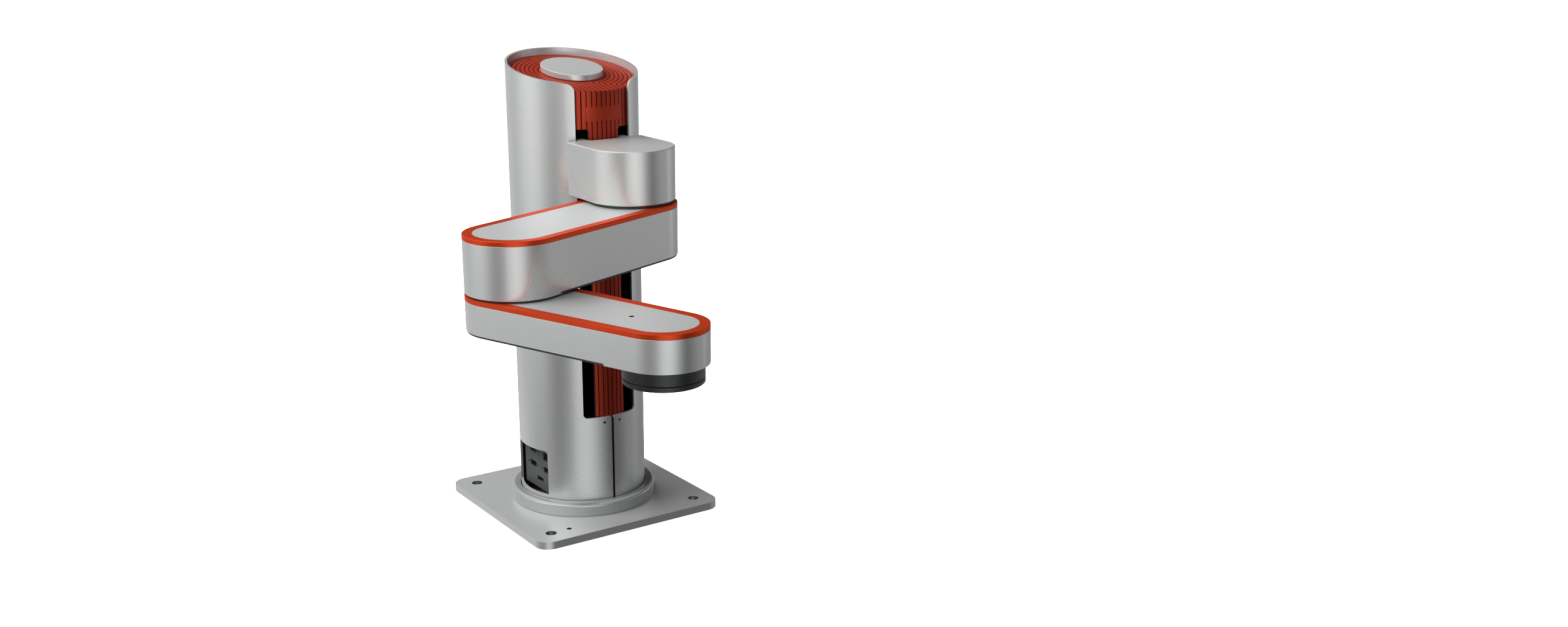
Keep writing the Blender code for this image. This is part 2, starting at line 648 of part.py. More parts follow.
def build_connector_panel():
    """Flat panel with the cut-outs of its five sockets."""
    middle = ((PANEL_LEFT + PANEL_RIGHT) / 2, (PANEL_BOTTOM + PANEL_TOP) / 2)
    outlines = [rounded_box(PANEL_RIGHT - PANEL_LEFT, PANEL_TOP - PANEL_BOTTOM, 0, middle)]
    for x, z in SIGNAL_PLACES:
        outlines.append(signal_outline((x, z)))
        for side in (-1, 1):
            outlines.append(circle((x + side * SIGNAL_SCREW_SPACING / 2, z), SIGNAL_SCREW_HOLE / 2, 8))
    outlines.append(rounded_box(NETWORK_WIDTH, NETWORK_HEIGHT, 0, NETWORK_PLACE))
    outlines.append(rounded_box(POWER_WIDTH, POWER_HEIGHT, 0, POWER_PLACE))
    flat_solid("connector_panel", outlines, PANEL_REAR, PANEL_FACE, "panel", along="-Y")


def build_sockets():
    """The sockets behind the panel, each with a shallow recess in its face."""
    face = PANEL_REAR - SEAT
    rear = face - SOCKET_DEPTH
    for number, where in enumerate(SIGNAL_PLACES, 1):
        socket = flat_solid(f"signal_socket_{number}", [signal_outline(where, SOCKET_MARGIN)], rear, face, "black",
                            along="-Y")
        recess = signal_outline(where, -SOCKET_RIM)
        carve(socket, flat_solid("recess", [recess], face - SOCKET_RECESS, PANEL_FACE, along="-Y"))
    boxed = (("network_socket", NETWORK_PLACE, NETWORK_WIDTH, NETWORK_HEIGHT),
             ("power_socket", POWER_PLACE, POWER_WIDTH, POWER_HEIGHT))
    for name, where, width, height in boxed:
        grown = 2 * SOCKET_MARGIN
        body = rounded_box(width + grown, height + grown, 0, where)
        socket = flat_solid(name, [body], rear, face, "black", along="-Y")
        shrunk = 2 * SOCKET_RIM
        recess = rounded_box(width - shrunk, height - shrunk, 0, where)
        carve(socket, flat_solid("recess", [recess], face - SOCKET_RECESS, PANEL_FACE, along="-Y"))


# Lift drive
def build_lift_drive():
    """Motor, bearing plates, guide rods and the ball screw inside the column."""
    lift = (LIFT_AXIS_X, 0)
    motor_top = LOWER_PLATE_BOTTOM - SEAT
    motor_outline = rounded_box(LIFT_MOTOR_SIDE, LIFT_MOTOR_SIDE, LIFT_MOTOR_CORNER, lift)
    flat_solid("lift_motor", [motor_outline], motor_top - LIFT_MOTOR_LENGTH, motor_top, "black")
    bore = circle(lift, JOURNAL_RADIUS + SHAFT_CLEARANCE, 16)
    lip = COLUMN_RADIUS - PEDESTAL_LIP
    flat_solid("lower_bearing_plate", [circle((0, 0), lip - SEAT, 48), bore], LOWER_PLATE_BOTTOM, PEDESTAL_TOP,
               "aluminium")
    plate_top = UPPER_PLATE_BOTTOM + UPPER_PLATE_THICKNESS
    flat_solid("upper_bearing_plate", [circle((0, 0), COLUMN_BORE - SEAT, 48), bore], UPPER_PLATE_BOTTOM, plate_top,
               "aluminium")
    for side, name in ((-1, "guide_rod_right"), (1, "guide_rod_left")):
        drum(name, ROD_RADIUS, PEDESTAL_TOP + SEAT, UPPER_PLATE_BOTTOM - SEAT, "steel",
             (LIFT_AXIS_X, side * ROD_SPACING / 2), steps=SMALL_ROUND)
    screw_axis = axis_empty("ball_screw_axis", (LIFT_AXIS_X, 0, 0))
    coupling_low = PEDESTAL_TOP + COUPLING_STANDOFF
    coupling_high = coupling_low + COUPLING_LENGTH
    shoulder = UPPER_PLATE_BOTTOM - COUPLING_STANDOFF
    profile = [(0, plate_top), (JOURNAL_RADIUS, plate_top), (JOURNAL_RADIUS, shoulder), (SCREW_RADIUS, shoulder),
               (SCREW_RADIUS, coupling_high), (COUPLING_RADIUS, coupling_high), (COUPLING_RADIUS, coupling_low),
               (JOURNAL_RADIUS, coupling_low), (JOURNAL_RADIUS, motor_top + SEAT), (0, motor_top + SEAT)]
    carry(screw_axis, turned("ball_screw", profile, "steel", steps=16))


# Carriage
def block_outline():
    """Outline of the shoulder block, in plan, with its two tabs into the column's slots."""
    notch_x = COLUMN_RADIUS + BLOCK_CLEARANCE
    rear_x = math.sqrt(SHELL_RADIUS ** 2 - TAB_OUTER ** 2) + BLOCK_CLEARANCE
    side = [(notch_x, TAB_INNER, 0), (TAB_END, TAB_INNER, 0), (TAB_END, TAB_OUTER, 0), (rear_x, TAB_OUTER, 0),
            (rear_x, BLOCK_RADIUS, BLOCK_REAR_CORNER)]
    rear = rounded(side + [(SHOULDER_X, BLOCK_RADIUS, 0)])[:-1]
    front = arc((SHOULDER_X, 0), BLOCK_RADIUS, 90, -90, 24)
    return rear + front + [(x, -y) for x, y in reversed(rear)]


def build_carriage(carriage):
    """Shoulder block, carriage frame, nut and bushes, which the ball screw lifts."""
    shoulder = (SHOULDER_X, 0)
    cavity_radius = BLOCK_RADIUS - BLOCK_WALL
    block = flat_solid("shoulder_block", [block_outline()], -BLOCK_HEIGHT, 0, "silver", BLOCK_EDGE)
    carve(block, drum("cavity", cavity_radius, -2 * BLOCK_HEIGHT, -BLOCK_ROOF, centre=shoulder, steps=48))
    motor_top = -BLOCK_ROOF - SEAT
    motor_bottom = motor_top - SHOULDER_MOTOR_LENGTH
    motor = drum("shoulder_motor", SHOULDER_MOTOR_RADIUS, motor_bottom, motor_top, "black", shoulder, steps=32)
    reducer_radius = cavity_radius - SEAT
    bore = HUB_BOSS_RADIUS + SHAFT_CLEARANCE
    reducer = flat_solid("shoulder_reducer", [circle(shoulder, reducer_radius, 40), circle(shoulder, bore, 20)],
                         -BLOCK_HEIGHT + SEAT, motor_bottom - SEAT, "steel")
    frame_top = -FRAME_DROP
    frame_bottom = frame_top - FRAME_HEIGHT
    rear = LIFT_AXIS_X - FRAME_REAR
    front = LIFT_AXIS_X + FRAME_FRONT
    arm_end = TAB_END - SEAT
    side = [(front, TAB_INNER, 0), (arm_end, TAB_INNER, 0), (arm_end, TAB_OUTER, 0), (front, TAB_OUTER, 0),
            (front, FRAME_WIDTH / 2, FRAME_CORNER), (rear, FRAME_WIDTH / 2, FRAME_CORNER)]
    outline = rounded(side + [(x, -y, radius) for x, y, radius in reversed(side)], 3)
    bush_radius = ROD_RADIUS + SHAFT_CLEARANCE + BUSH_WALL
    rod_places = [(LIFT_AXIS_X, turn * ROD_SPACING / 2) for turn in (-1, 1)]
    holes = [circle((LIFT_AXIS_X, 0), NUT_RADIUS + SEAT)]
    holes += [circle(rod, bush_radius + SEAT) for rod in rod_places]
    frame = flat_solid("carriage_frame", [outline, *holes], frame_bottom, frame_top, "aluminium")
    flange_low = frame_top + SEAT
    flange_high = flange_low + NUT_FLANGE_THICKNESS
    screw_bore = SCREW_RADIUS + SHAFT_CLEARANCE
    nut_profile = [(NUT_FLANGE_RADIUS, flange_high), (NUT_FLANGE_RADIUS, flange_low), (NUT_RADIUS, flange_low),
                   (NUT_RADIUS, frame_bottom), (screw_bore, frame_bottom), (screw_bore, flange_high)]
    nut = turned("ball_nut", nut_profile, "steel", (LIFT_AXIS_X, 0))
    carry(carriage, block, motor, reducer, frame, nut)
    for rod, name in zip(rod_places, ("guide_bush_right", "guide_bush_left")):
        rings = [circle(rod, bush_radius), circle(rod, ROD_RADIUS + SHAFT_CLEARANCE)]
        carry(carriage, flat_solid(name, rings, frame_bottom, frame_top, "brass"))


# Links
def hub(name, ring_radius, gap):
    """Turning hub: a thin ring in the gap above a link and a boss into the reducer above it."""
    ring_top = gap - SEAT
    boss_top = ring_top + HUB_BOSS_LENGTH
    profile = [(0, boss_top), (HUB_BOSS_RADIUS, boss_top), (HUB_BOSS_RADIUS, ring_top), (ring_radius, ring_top),
               (ring_radius, SEAT), (0, SEAT)]
    return turned(name, profile, "black", steps=40)


def link_top(prefix, length, tip_radius, hole=None):
    """Coloured trim ring and the pale plate let into it."""
    outer = link_outline(length, LINK_RADIUS, tip_radius)
    inner = link_outline(length, LINK_RADIUS - TRIM_WIDTH, tip_radius - TRIM_WIDTH)
    trim = flat_solid(prefix + "_trim", [outer, inner], -TRIM_HEIGHT, 0, "orange", TRIM_EDGE)
    inset = TRIM_WIDTH + SEAT
    plate_outlines = [link_outline(length, LINK_RADIUS - inset, tip_radius - inset)]
    if hole:
        plate_outlines.append(circle((hole[0], 0), hole[1] / 2, 12))
    plate = flat_solid(prefix + "_top_plate", plate_outlines, -TRIM_HEIGHT, -TOP_PLATE_RECESS, "pale")
    return trim, plate


def build_upper_arm(axis):
    """Upper arm: cast housing, trim, top plate, bottom cover, hub and the elbow's drive."""
    length = UPPER_ARM_LENGTH
    bottom = -UPPER_ARM_HEIGHT
    elbow = (length, 0)
    void_low = bottom + LINK_FLOOR
    housing = flat_solid("upper_arm_housing", [link_outline(length, LINK_RADIUS, LINK_RADIUS)], bottom, -TRIM_SEAT,
                         "silver")
    inner_radius = LINK_RADIUS - LINK_WALL
    carve(housing, flat_solid("void", [link_outline(length, inner_radius, inner_radius)], void_low, -LINK_ROOF))
    mouth_radius = inner_radius - LINK_WALL
    mouth = link_outline(UPPER_ARM_OPENING - mouth_radius, mouth_radius, mouth_radius, 12)
    low = 2 * bottom
    carve(housing, flat_solid("mouth", [mouth], low, void_low + LINK_WALL))
    bore = ELBOW_REDUCER_RADIUS + SEAT
    carve(housing, drum("bore", bore, low, void_low + LINK_WALL, centre=elbow, steps=40))
    rebate = flat_solid("rebate", [rounded_box(4 * length, 4 * LINK_RADIUS, 0, (-length, 0))], low,
                        bottom + COVER_THICKNESS + SEAT)
    carve(rebate, drum("boss", ELBOW_BOSS_RADIUS, 2 * low, 0, centre=elbow))
    carve(housing, rebate)
    cover_radius = LINK_RADIUS - COVER_INSET
    cover = flat_solid("upper_arm_bottom_cover", [link_outline(length, cover_radius, cover_radius)], bottom,
                       bottom + COVER_THICKNESS, "panel")
    carve(cover, drum("boss", ELBOW_BOSS_RADIUS + SEAT, 2 * bottom, 0, centre=elbow))
    trim, plate = link_top("upper_arm", length, LINK_RADIUS)
    motor_top = -LINK_ROOF - SEAT
    motor_bottom = motor_top - ELBOW_MOTOR_LENGTH
    motor = drum("elbow_motor", ELBOW_MOTOR_RADIUS, motor_bottom, motor_top, "black", elbow, steps=32)
    hub_bore = HUB_BOSS_RADIUS + SHAFT_CLEARANCE
    reducer_rings = [circle(elbow, ELBOW_REDUCER_RADIUS, 40), circle(elbow, hub_bore, 20)]
    reducer = flat_solid("elbow_reducer", reducer_rings, bottom + SEAT, motor_bottom - SEAT, "steel")
    shoulder_hub = hub("shoulder_hub", BLOCK_RADIUS - SHOULDER_RING_INSET, SHOULDER_GAP)
    carry(axis, housing, cover, trim, plate, motor, reducer, shoulder_hub)


def belt_outline(growth):
    """Outline round both pulleys at one distance from their rims."""
    span = FOREARM_LENGTH - ROLL_MOTOR_X
    points = link_outline(span, TOOL_PULLEY_RADIUS + growth, ROLL_PULLEY_RADIUS + growth, 12)
    return [(FOREARM_LENGTH - x, y) for x, y in points]


def build_forearm(axis, roll_axis):
    """Forearm: tapered housing, trim, top plate, cover, hub and the tool axis's belt drive."""
    length = FOREARM_LENGTH
    bottom = -FOREARM_HEIGHT
    tool = (length, 0)
    void_low = bottom + LINK_FLOOR
    low = 2 * bottom
    housing = flat_solid("forearm_housing", [link_outline(length, LINK_RADIUS, FOREARM_TIP_RADIUS)], bottom,
                         -TRIM_SEAT, "silver")
    void = link_outline(length, LINK_RADIUS - LINK_WALL, FOREARM_TIP_RADIUS - LINK_WALL)
    carve(housing, flat_solid("void", [void], void_low, -LINK_ROOF))
    mouth = link_outline(FOREARM_OPENING, FOREARM_OPENING_RADIUS, FOREARM_OPENING_RADIUS, 12)
    carve(housing, flat_solid("mouth", [mouth], low, void_low + LINK_WALL))
    carve(housing, drum("bore", BEARING_RADIUS + SEAT, low, void_low + LINK_WALL, centre=tool, steps=SMALL_ROUND))
    rebate_middle = (FOREARM_COVER_END - 2 * length, 0)
    rebate_outline = rounded_box(4 * length, 4 * LINK_RADIUS, 0, rebate_middle)
    carve(housing, flat_solid("rebate", [rebate_outline], low, bottom + COVER_THICKNESS + SEAT))
    cover_outline = link_outline(length, LINK_RADIUS - COVER_INSET, FOREARM_TIP_RADIUS - COVER_INSET)
    cover = flat_solid("forearm_bottom_cover", [cover_outline], bottom, bottom + COVER_THICKNESS, "panel")
    beyond = rounded_box(2 * length, 4 * LINK_RADIUS, 0, (FOREARM_COVER_END - SEAT + length, 0))
    carve(cover, flat_solid("beyond", [beyond], low, 0))
    trim, plate = link_top("forearm", length, FOREARM_TIP_RADIUS, (FOREARM_HOLE_X, FOREARM_HOLE))
    elbow_hub = hub("elbow_hub", LINK_RADIUS - ELBOW_RING_INSET, ELBOW_GAP)
    motor_low = bottom + COVER_THICKNESS + SEAT
    motor_high = motor_low + ROLL_MOTOR_LENGTH
    motor_outline = rounded_box(ROLL_MOTOR_SIDE, ROLL_MOTOR_SIDE, LINK_WALL, (ROLL_MOTOR_X, 0))
    motor = flat_solid("roll_motor", [motor_outline], motor_low, motor_high, "black")
    belt_low = BELT_PLANE + (PULLEY_WIDTH - BELT_WIDTH) / 2
    belt = flat_solid("roll_belt", [belt_outline(SEAT + BELT_THICKNESS), belt_outline(SEAT)], belt_low,
                      belt_low + BELT_WIDTH, "rubber")
    shaft_bore = TOOL_SHAFT_RADIUS + SHAFT_CLEARANCE
    bearing_rings = [circle(tool, BEARING_RADIUS), circle(tool, shaft_bore)]
    bearing = flat_solid("roll_bearing", bearing_rings, bottom, void_low, "steel")
    collar_high = bottom - SEAT
    collar_low = bottom - COLLAR_HEIGHT
    collar = flat_solid("flange_collar", [circle(tool, FLANGE_RADIUS, 48), circle(tool, shaft_bore)], collar_low,
                        collar_high, "flange", edge=SEAT, edge_segments=1)
    carry(axis, housing, cover, trim, plate, elbow_hub, motor, belt, bearing, collar)
    pulley_profile = [(0, BELT_PLANE + PULLEY_WIDTH), (ROLL_PULLEY_RADIUS, BELT_PLANE + PULLEY_WIDTH),
                      (ROLL_PULLEY_RADIUS, BELT_PLANE), (JOURNAL_RADIUS, BELT_PLANE),
                      (JOURNAL_RADIUS, motor_high + SEAT), (0, motor_high + SEAT)]
    carry(roll_axis, turned("roll_motor_pulley", pulley_profile, "aluminium"))


def build_tool(axis):
    """Turning tool flange on its shaft, with the pulley that drives it."""
    bottom = -FOREARM_HEIGHT
    face_high = bottom - COLLAR_HEIGHT - FLANGE_GROOVE
    face_low = face_high - FLANGE_HEIGHT
    pulley_top = BELT_PLANE + PULLEY_WIDTH
    pilot = face_low + FLANGE_PILOT_DEPTH
    edge = SEAT
    profile = [(0, pulley_top), (TOOL_SHAFT_RADIUS, pulley_top), (TOOL_SHAFT_RADIUS, face_high),
               (FLANGE_RADIUS, face_high), (FLANGE_RADIUS, face_low + edge), (FLANGE_RADIUS - edge, face_low),
               (FLANGE_PILOT_RADIUS, face_low), (FLANGE_PILOT_RADIUS, pilot), (0, pilot)]
    flange = turned("tool_flange", profile, "flange", steps=48)
    for quarter in range(4):
        angle = math.radians(45 + 90 * quarter)
        where = (FLANGE_BOLT_CIRCLE * math.cos(angle), FLANGE_BOLT_CIRCLE * math.sin(angle))
        carve(flange, drum("bolt_hole", FLANGE_BOLT_HOLE / 2, 2 * face_low, face_high + SEAT, centre=where, steps=12))
    rings = [circle((0, 0), TOOL_PULLEY_RADIUS, 32), circle((0, 0), TOOL_SHAFT_RADIUS + SEAT)]
    pulley = flat_solid("tool_pulley", rings, BELT_PLANE, pulley_top, "aluminium")
    carry(axis, flange, pulley)


def main():
    """Build every piece and hang the moving ones on their joint axes."""
    build_base_plate()
    build_base_ring()
    build_outer_shell()
    build_inner_column()
    build_top_cap()
    build_pedestal()
    build_connector_panel()
    build_sockets()
    build_lift_drive()
    carriage = axis_empty("carriage_axis", (0, 0, CARRIAGE_HEIGHT))
    shoulder = axis_empty("shoulder_axis", (SHOULDER_X, 0, -BLOCK_HEIGHT - SHOULDER_GAP), carriage, SHOULDER_ANGLE)
    elbow = axis_empty("elbow_axis", (UPPER_ARM_LENGTH, 0, -UPPER_ARM_HEIGHT - ELBOW_GAP), shoulder, ELBOW_ANGLE)
    tool = axis_empty("tool_axis", (FOREARM_LENGTH, 0, 0), elbow)
    roll = axis_empty("roll_motor_axis", (ROLL_MOTOR_X, 0, 0), elbow)
    build_carriage(carriage)
    build_upper_arm(shoulder)
    build_forearm(elbow, roll)
    build_tool(tool)


main()
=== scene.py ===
import json
import math

import bmesh
import bpy
from bpy.props import FloatProperty, FloatVectorProperty, PointerProperty
from mathutils import Matrix, Vector


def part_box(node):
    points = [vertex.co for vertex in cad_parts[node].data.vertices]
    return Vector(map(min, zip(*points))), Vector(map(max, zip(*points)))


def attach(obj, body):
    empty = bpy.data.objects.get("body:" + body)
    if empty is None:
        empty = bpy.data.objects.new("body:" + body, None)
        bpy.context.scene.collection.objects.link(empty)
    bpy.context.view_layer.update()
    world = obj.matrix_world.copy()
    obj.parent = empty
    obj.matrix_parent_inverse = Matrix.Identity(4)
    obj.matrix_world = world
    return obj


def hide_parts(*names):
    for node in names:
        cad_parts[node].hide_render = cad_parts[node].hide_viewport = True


bl_info = {
    "name": "SCARA Robot Dressing",
    "version": (1, 0, 0),
    "blender": (4, 5, 0),
    "location": "View3D > Sidebar > Robot",
    "description": "Builds the finished pieces, materials and studio of a column-type SCARA robot",
    "category": "Object",
}

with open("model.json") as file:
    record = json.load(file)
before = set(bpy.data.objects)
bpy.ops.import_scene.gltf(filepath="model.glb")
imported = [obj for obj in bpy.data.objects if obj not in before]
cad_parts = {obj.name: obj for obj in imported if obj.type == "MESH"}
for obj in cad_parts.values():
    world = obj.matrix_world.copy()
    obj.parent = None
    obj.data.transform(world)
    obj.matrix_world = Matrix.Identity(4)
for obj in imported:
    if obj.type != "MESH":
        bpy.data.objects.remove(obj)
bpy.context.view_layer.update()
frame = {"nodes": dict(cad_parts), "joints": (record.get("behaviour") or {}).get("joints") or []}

MM = 0.001
FULL_TURN = 2 * math.pi

# Clearances and small sizes that several pieces share
SEAT = 0.3 * MM
HAIRLINE = 0.04 * MM              # between pieces that look flush
SMOOTH_ANGLE = math.radians(32)
ROUND = 192                       # facets of a large turned face
FINE = 48                         # facets of a small turned face
LINK_END = 64                     # facets of a link's round end
OVERCUT = 20 * MM                 # how far cutters stand out of what they cut
SMALL_EDGE = 0.2 * MM
SHEET_EDGE = 0.12 * MM

# Plate
BOLT_HALF = 80 * MM               # half the side of the bolts' square
BOLT_HOLE = 5.3 * MM              # radius
DOWEL_HALF = 60.6 * MM
DOWEL_HOLE = 2.5 * MM             # radius
PLATE_CORNER = 14 * MM

# Column
SLOPE = -math.tan(math.radians(10.8))
SHELL_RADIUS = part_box("outer_shell")[1].y
SHELL_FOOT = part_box("outer_shell")[0].z
SHELL_HEIGHT = 431.7 * MM
SHELL_BORE = SHELL_RADIUS - 2.2 * MM
SLOT_HALF = 28.1 * MM
SLOT_BOTTOM = 104.4 * MM
SLOT_CORNER = 4.0 * MM
SLOT_FLARE = 8.0 * MM
SEAM_HALF = 1.1 * MM
SEAM_CORNER = 2.0 * MM
SEAM_SCREW_HOLE = 1.4 * MM        # radius
SEAM_SCREW_PLACE = (8.25 * MM, 98.7 * MM)
WINDOW_HALF = 29.0 * MM
WINDOW_SPAN = (23.8 * MM, 68.5 * MM)
WINDOW_CORNERS = (0.4 * MM, 3.0 * MM)     # at the bottom and at the top
COLUMN_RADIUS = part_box("inner_column")[1].y
COLUMN_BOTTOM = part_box("inner_column")[0].z
COLUMN_BORE = COLUMN_RADIUS - 3.0 * MM
COLUMN_TOP = SHELL_HEIGHT - 6.2 * MM
COLUMN_LID = 4.0 * MM
LID_EDGE = 0.45 * MM
GROOVES = 7
GROOVE_PITCH = 4.8 * MM
BARE_BAND = (387.4 * MM, 400.0 * MM)
BARE_BAND_GROOVES = 4             # on each side of the middle, that stop at the band
FULL_GROOVES = 3                  # the rest start above the arm slots
LOOP_FIRST_RADIUS = 31.5 * MM
LOOP_PITCH = 4.1 * MM
LOOP_BEND = 6.0 * MM
ARM_SLOT = (15.4 * MM, 30.0 * MM, 100.0 * MM, 380.3 * MM)    # near and far side, bottom and top
ARM_SLOT_CORNER = 3.0 * MM
VENT_PLACE = (-46.0 * MM, -19.5 * MM)
VENT_RADIUS = 1.3 * MM
CAP_RADIUS = 29.2 * MM
CAP_DIP = 0.4 * MM                # how far the cap stays below the rim

# Links
LINK_RADIUS = 41.3 * MM
LINK_LENGTH = 160.0 * MM
TRIM_HEIGHT = 4.0 * MM
PLATE_DIP = 0.2 * MM
COVER = 1.6 * MM
COVER_INSET = 0.8 * MM
TRIM_WIDTH = 8.6 * MM
PLUG_HOLE = 2.1 * MM              # radius of the small hole in the forearm's top


def joint_place(name):
    """Where a joint's axis stands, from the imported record."""
    return Vector(next(j["pos_m"] for j in frame["joints"] if j["name"] == name))


SHOULDER = joint_place("shoulder")
ELBOW = joint_place("elbow")
TOOL = joint_place("tool_roll")
UPPER_TURN = math.atan2(ELBOW.y - SHOULDER.y, ELBOW.x - SHOULDER.x)
FORE_TURN = math.atan2(TOOL.y - ELBOW.y, TOOL.x - ELBOW.x)
UPPER_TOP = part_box("upper_arm_trim")[1].z
UPPER_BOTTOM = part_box("upper_arm_housing")[0].z
FORE_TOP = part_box("forearm_trim")[1].z
FORE_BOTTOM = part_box("forearm_housing")[0].z
UPPER_PLACE = (Matrix.Translation((SHOULDER.x, SHOULDER.y, UPPER_TOP))
               @ Matrix.Rotation(UPPER_TURN, 4, "Z"))
FORE_PLACE = Matrix.Translation((ELBOW.x, ELBOW.y, FORE_TOP)) @ Matrix.Rotation(FORE_TURN, 4, "Z")


def linear(code):
    """An sRGB hex value as linear red, green and blue."""
    channels = [int(code[i:i + 2], 16) / 255 for i in (0, 2, 4)]
    return tuple(c / 12.92 if c <= 0.04045 else ((c + 0.055) / 1.055) ** 2.4 for c in channels)


# Settings
def length(title, text, default, low, high):
    """A length that a user may change."""
    return FloatProperty(name=title, description=text, default=default, min=low, max=high, subtype="DISTANCE",
                         unit="LENGTH")


def colour(title, text, code):
    """A colour that a user may change."""
    return FloatVectorProperty(name=title, description=text, default=linear(code), size=3, min=0, max=1,
                               subtype="COLOR")


class RobotSizes(bpy.types.PropertyGroup):
    """Sizes of the finishing details."""

    edge: length("Machined edge", "Rounding of machined edges", 0.5 * MM, 0.05 * MM, 2 * MM)
    plate_edge: length("Plate edge", "Rounding of the mounting plate's edges", 0.9 * MM, 0.1 * MM, 3 * MM)
    block_edge: length("Block edge", "Rounding of the shoulder block's top edge", 1.1 * MM, 0.1 * MM, 3 * MM)
    cap_edge: length("Cap edge", "Rounding of the top cap", 0.6 * MM, 0.1 * MM, 3 * MM)
    trim_edge: length("Trim edge", "Rounding of the trim's top edges", 0.6 * MM, 0.1 * MM, 2 * MM)
    groove_width: length("Groove width", "Width of the upright grooves", 0.9 * MM, 0.2 * MM, 3 * MM)
    groove_depth: length("Groove depth", "Depth of the grooves", 0.8 * MM, 0.1 * MM, 2 * MM)
    loop_width: length("Loop width", "Width of the grooves on the slanted top", 0.8 * MM, 0.2 * MM, 3 * MM)


class RobotColours(bpy.types.PropertyGroup):
    """Colours of the finishes."""

    silver: colour("Silver", "Bead-blasted anodised aluminium", "C4C6C5")
    plate: colour("Mounting plate", "Ground aluminium of the mounting plate", "C8CAC9")
    pale: colour("Pale plates", "Finer anodised aluminium of the inset plates", "C9CBCA")
    column: colour("Column", "Orange anodised column", "A83725")
    trim: colour("Trim", "Orange anodised trim", "D04520")
    panel: colour("Panel", "Powder-coated socket panel", "484B4A")
    flange: colour("Flange", "Black blasted flange", "414242")


# Materials
METAL_SHARE = 0.6                 # the rest of an anodised surface is its dull film


def add(tree, kind, inputs=None, **settings):
    """Add a node, give it its settings, and fill or link its inputs."""
    node = tree.nodes.new(kind)
    for name, value in settings.items():
        setattr(node, name, value)
    for name, value in (inputs or {}).items():
        if isinstance(value, bpy.types.NodeSocket):
            tree.links.new(value, node.inputs[name])
        else:
            node.inputs[name].default_value = value
    return node


def new_finish(name, **fixed):
    """A material with its Principled shader's constant inputs set, and its Object coordinates."""
    made = bpy.data.materials.new(name)
    made.use_nodes = True
    tree = made.node_tree
    shader = tree.nodes["Principled BSDF"]
    for socket, value in fixed.items():
        shader.inputs[socket.replace("_", " ")].default_value = value
    place = add(tree, "ShaderNodeTexCoord").outputs["Object"]
    return made, tree, shader, place


def scaled(rgb, factor):
    """A colour made lighter or darker."""
    return tuple(min(1.0, c * factor) for c in rgb)


def skin(tree, shader, tint, tint_by, relief_by, depth, rough=None, rough_by=None, tint_span=(0.3, 0.7),
         rough_span=(0.3, 0.7)):
    """Lead patterns to a shader: dark to light colour, low to high roughness, and relief of a given depth."""
    ramp = add(tree, "ShaderNodeValToRGB", {"Fac": tint_by})
    for mark, position, rgb in zip(ramp.color_ramp.elements, tint_span, tint):
        mark.position = position
        mark.color = (*rgb, 1)
    tree.links.new(ramp.outputs["Color"], shader.inputs["Base Color"])
    if rough:
        worn = add(tree, "ShaderNodeMapRange", {"Value": rough_by, "From Min": rough_span[0],
                                                "From Max": rough_span[1], "To Min": rough[0],
                                                "To Max": rough[1]})
        tree.links.new(worn.outputs["Result"], shader.inputs["Roughness"])
    relief = add(tree, "ShaderNodeBump", {"Height": relief_by, "Strength": 1.0, "Distance": depth})
    tree.links.new(relief.outputs["Normal"], shader.inputs["Normal"])


def blasted_anodised(name, rgb, rough, grain, spread=0.01, bump=0.0015 * MM):
    """Aluminium blasted with fine beads and anodised clear: soft, even reflections with a faint grain.

    The clear film scatters some light, so the surface is part dull. The real grain is near 0.05 mm, and is
    drawn at the size given so that it shows.
    """
    made, tree, shader, place = new_finish(name, Metallic=METAL_SHARE)
    cloud = add(tree, "ShaderNodeTexNoise", {"Vector": place, "Scale": 18.0, "Detail": 3.0,
                                             "Roughness": 0.6}).outputs["Fac"]
    fine = add(tree, "ShaderNodeTexNoise", {"Vector": place, "Scale": 1 / grain, "Detail": 2.0,
                                            "Roughness": 0.7}).outputs["Fac"]
    part = add(tree, "ShaderNodeMath", {0: cloud, 1: 0.45}, operation="MULTIPLY").outputs[0]
    mixed = add(tree, "ShaderNodeMath", {0: fine, 1: 0.55, 2: part}, operation="MULTIPLY_ADD").outputs[0]
    skin(tree, shader, (scaled(rgb, 1 - spread), scaled(rgb, 1 + spread)), mixed, fine, bump,
         (rough - 0.01, rough + 0.01), mixed)
    return made


def orange_anodised(name, rgb, rough, sheen=(1.0, 0.42, 0.28), metallic=0.45):
    """Aluminium dyed orange when it was anodised: deep colour, and a sheen that stays orange at the edges."""
    made, tree, shader, place = new_finish(name, Metallic=metallic, Specular_Tint=(*sheen, 1.0))
    drift = add(tree, "ShaderNodeTexNoise", {"Vector": place, "Scale": 25.0, "Detail": 2.0}).outputs["Fac"]
    fine = add(tree, "ShaderNodeTexNoise", {"Vector": place, "Scale": 1 / (0.5 * MM),
                                            "Detail": 2.0}).outputs["Fac"]
    skin(tree, shader, (scaled(rgb, 0.93), scaled(rgb, 1.05)), drift, fine, 0.002 * MM,
         (rough - 0.03, rough + 0.05), fine)
    return made


def moulded_plastic(name, rgb, rough, grain, bump):
    """Injection-moulded plastic: plain colour, with the slight waviness and grain of the mould."""
    made, tree, shader, place = new_finish(name, Metallic=0.0, IOR=1.5)
    wave = add(tree, "ShaderNodeTexNoise", {"Vector": place, "Scale": 60.0, "Detail": 1.0}).outputs["Fac"]
    fine = add(tree, "ShaderNodeTexNoise", {"Vector": place, "Scale": 1 / grain,
                                            "Detail": 3.0}).outputs["Fac"]
    skin(tree, shader, (scaled(rgb, 0.94), scaled(rgb, 1.04)), wave, fine, bump, (rough - 0.03, rough + 0.05),
         fine)
    return made


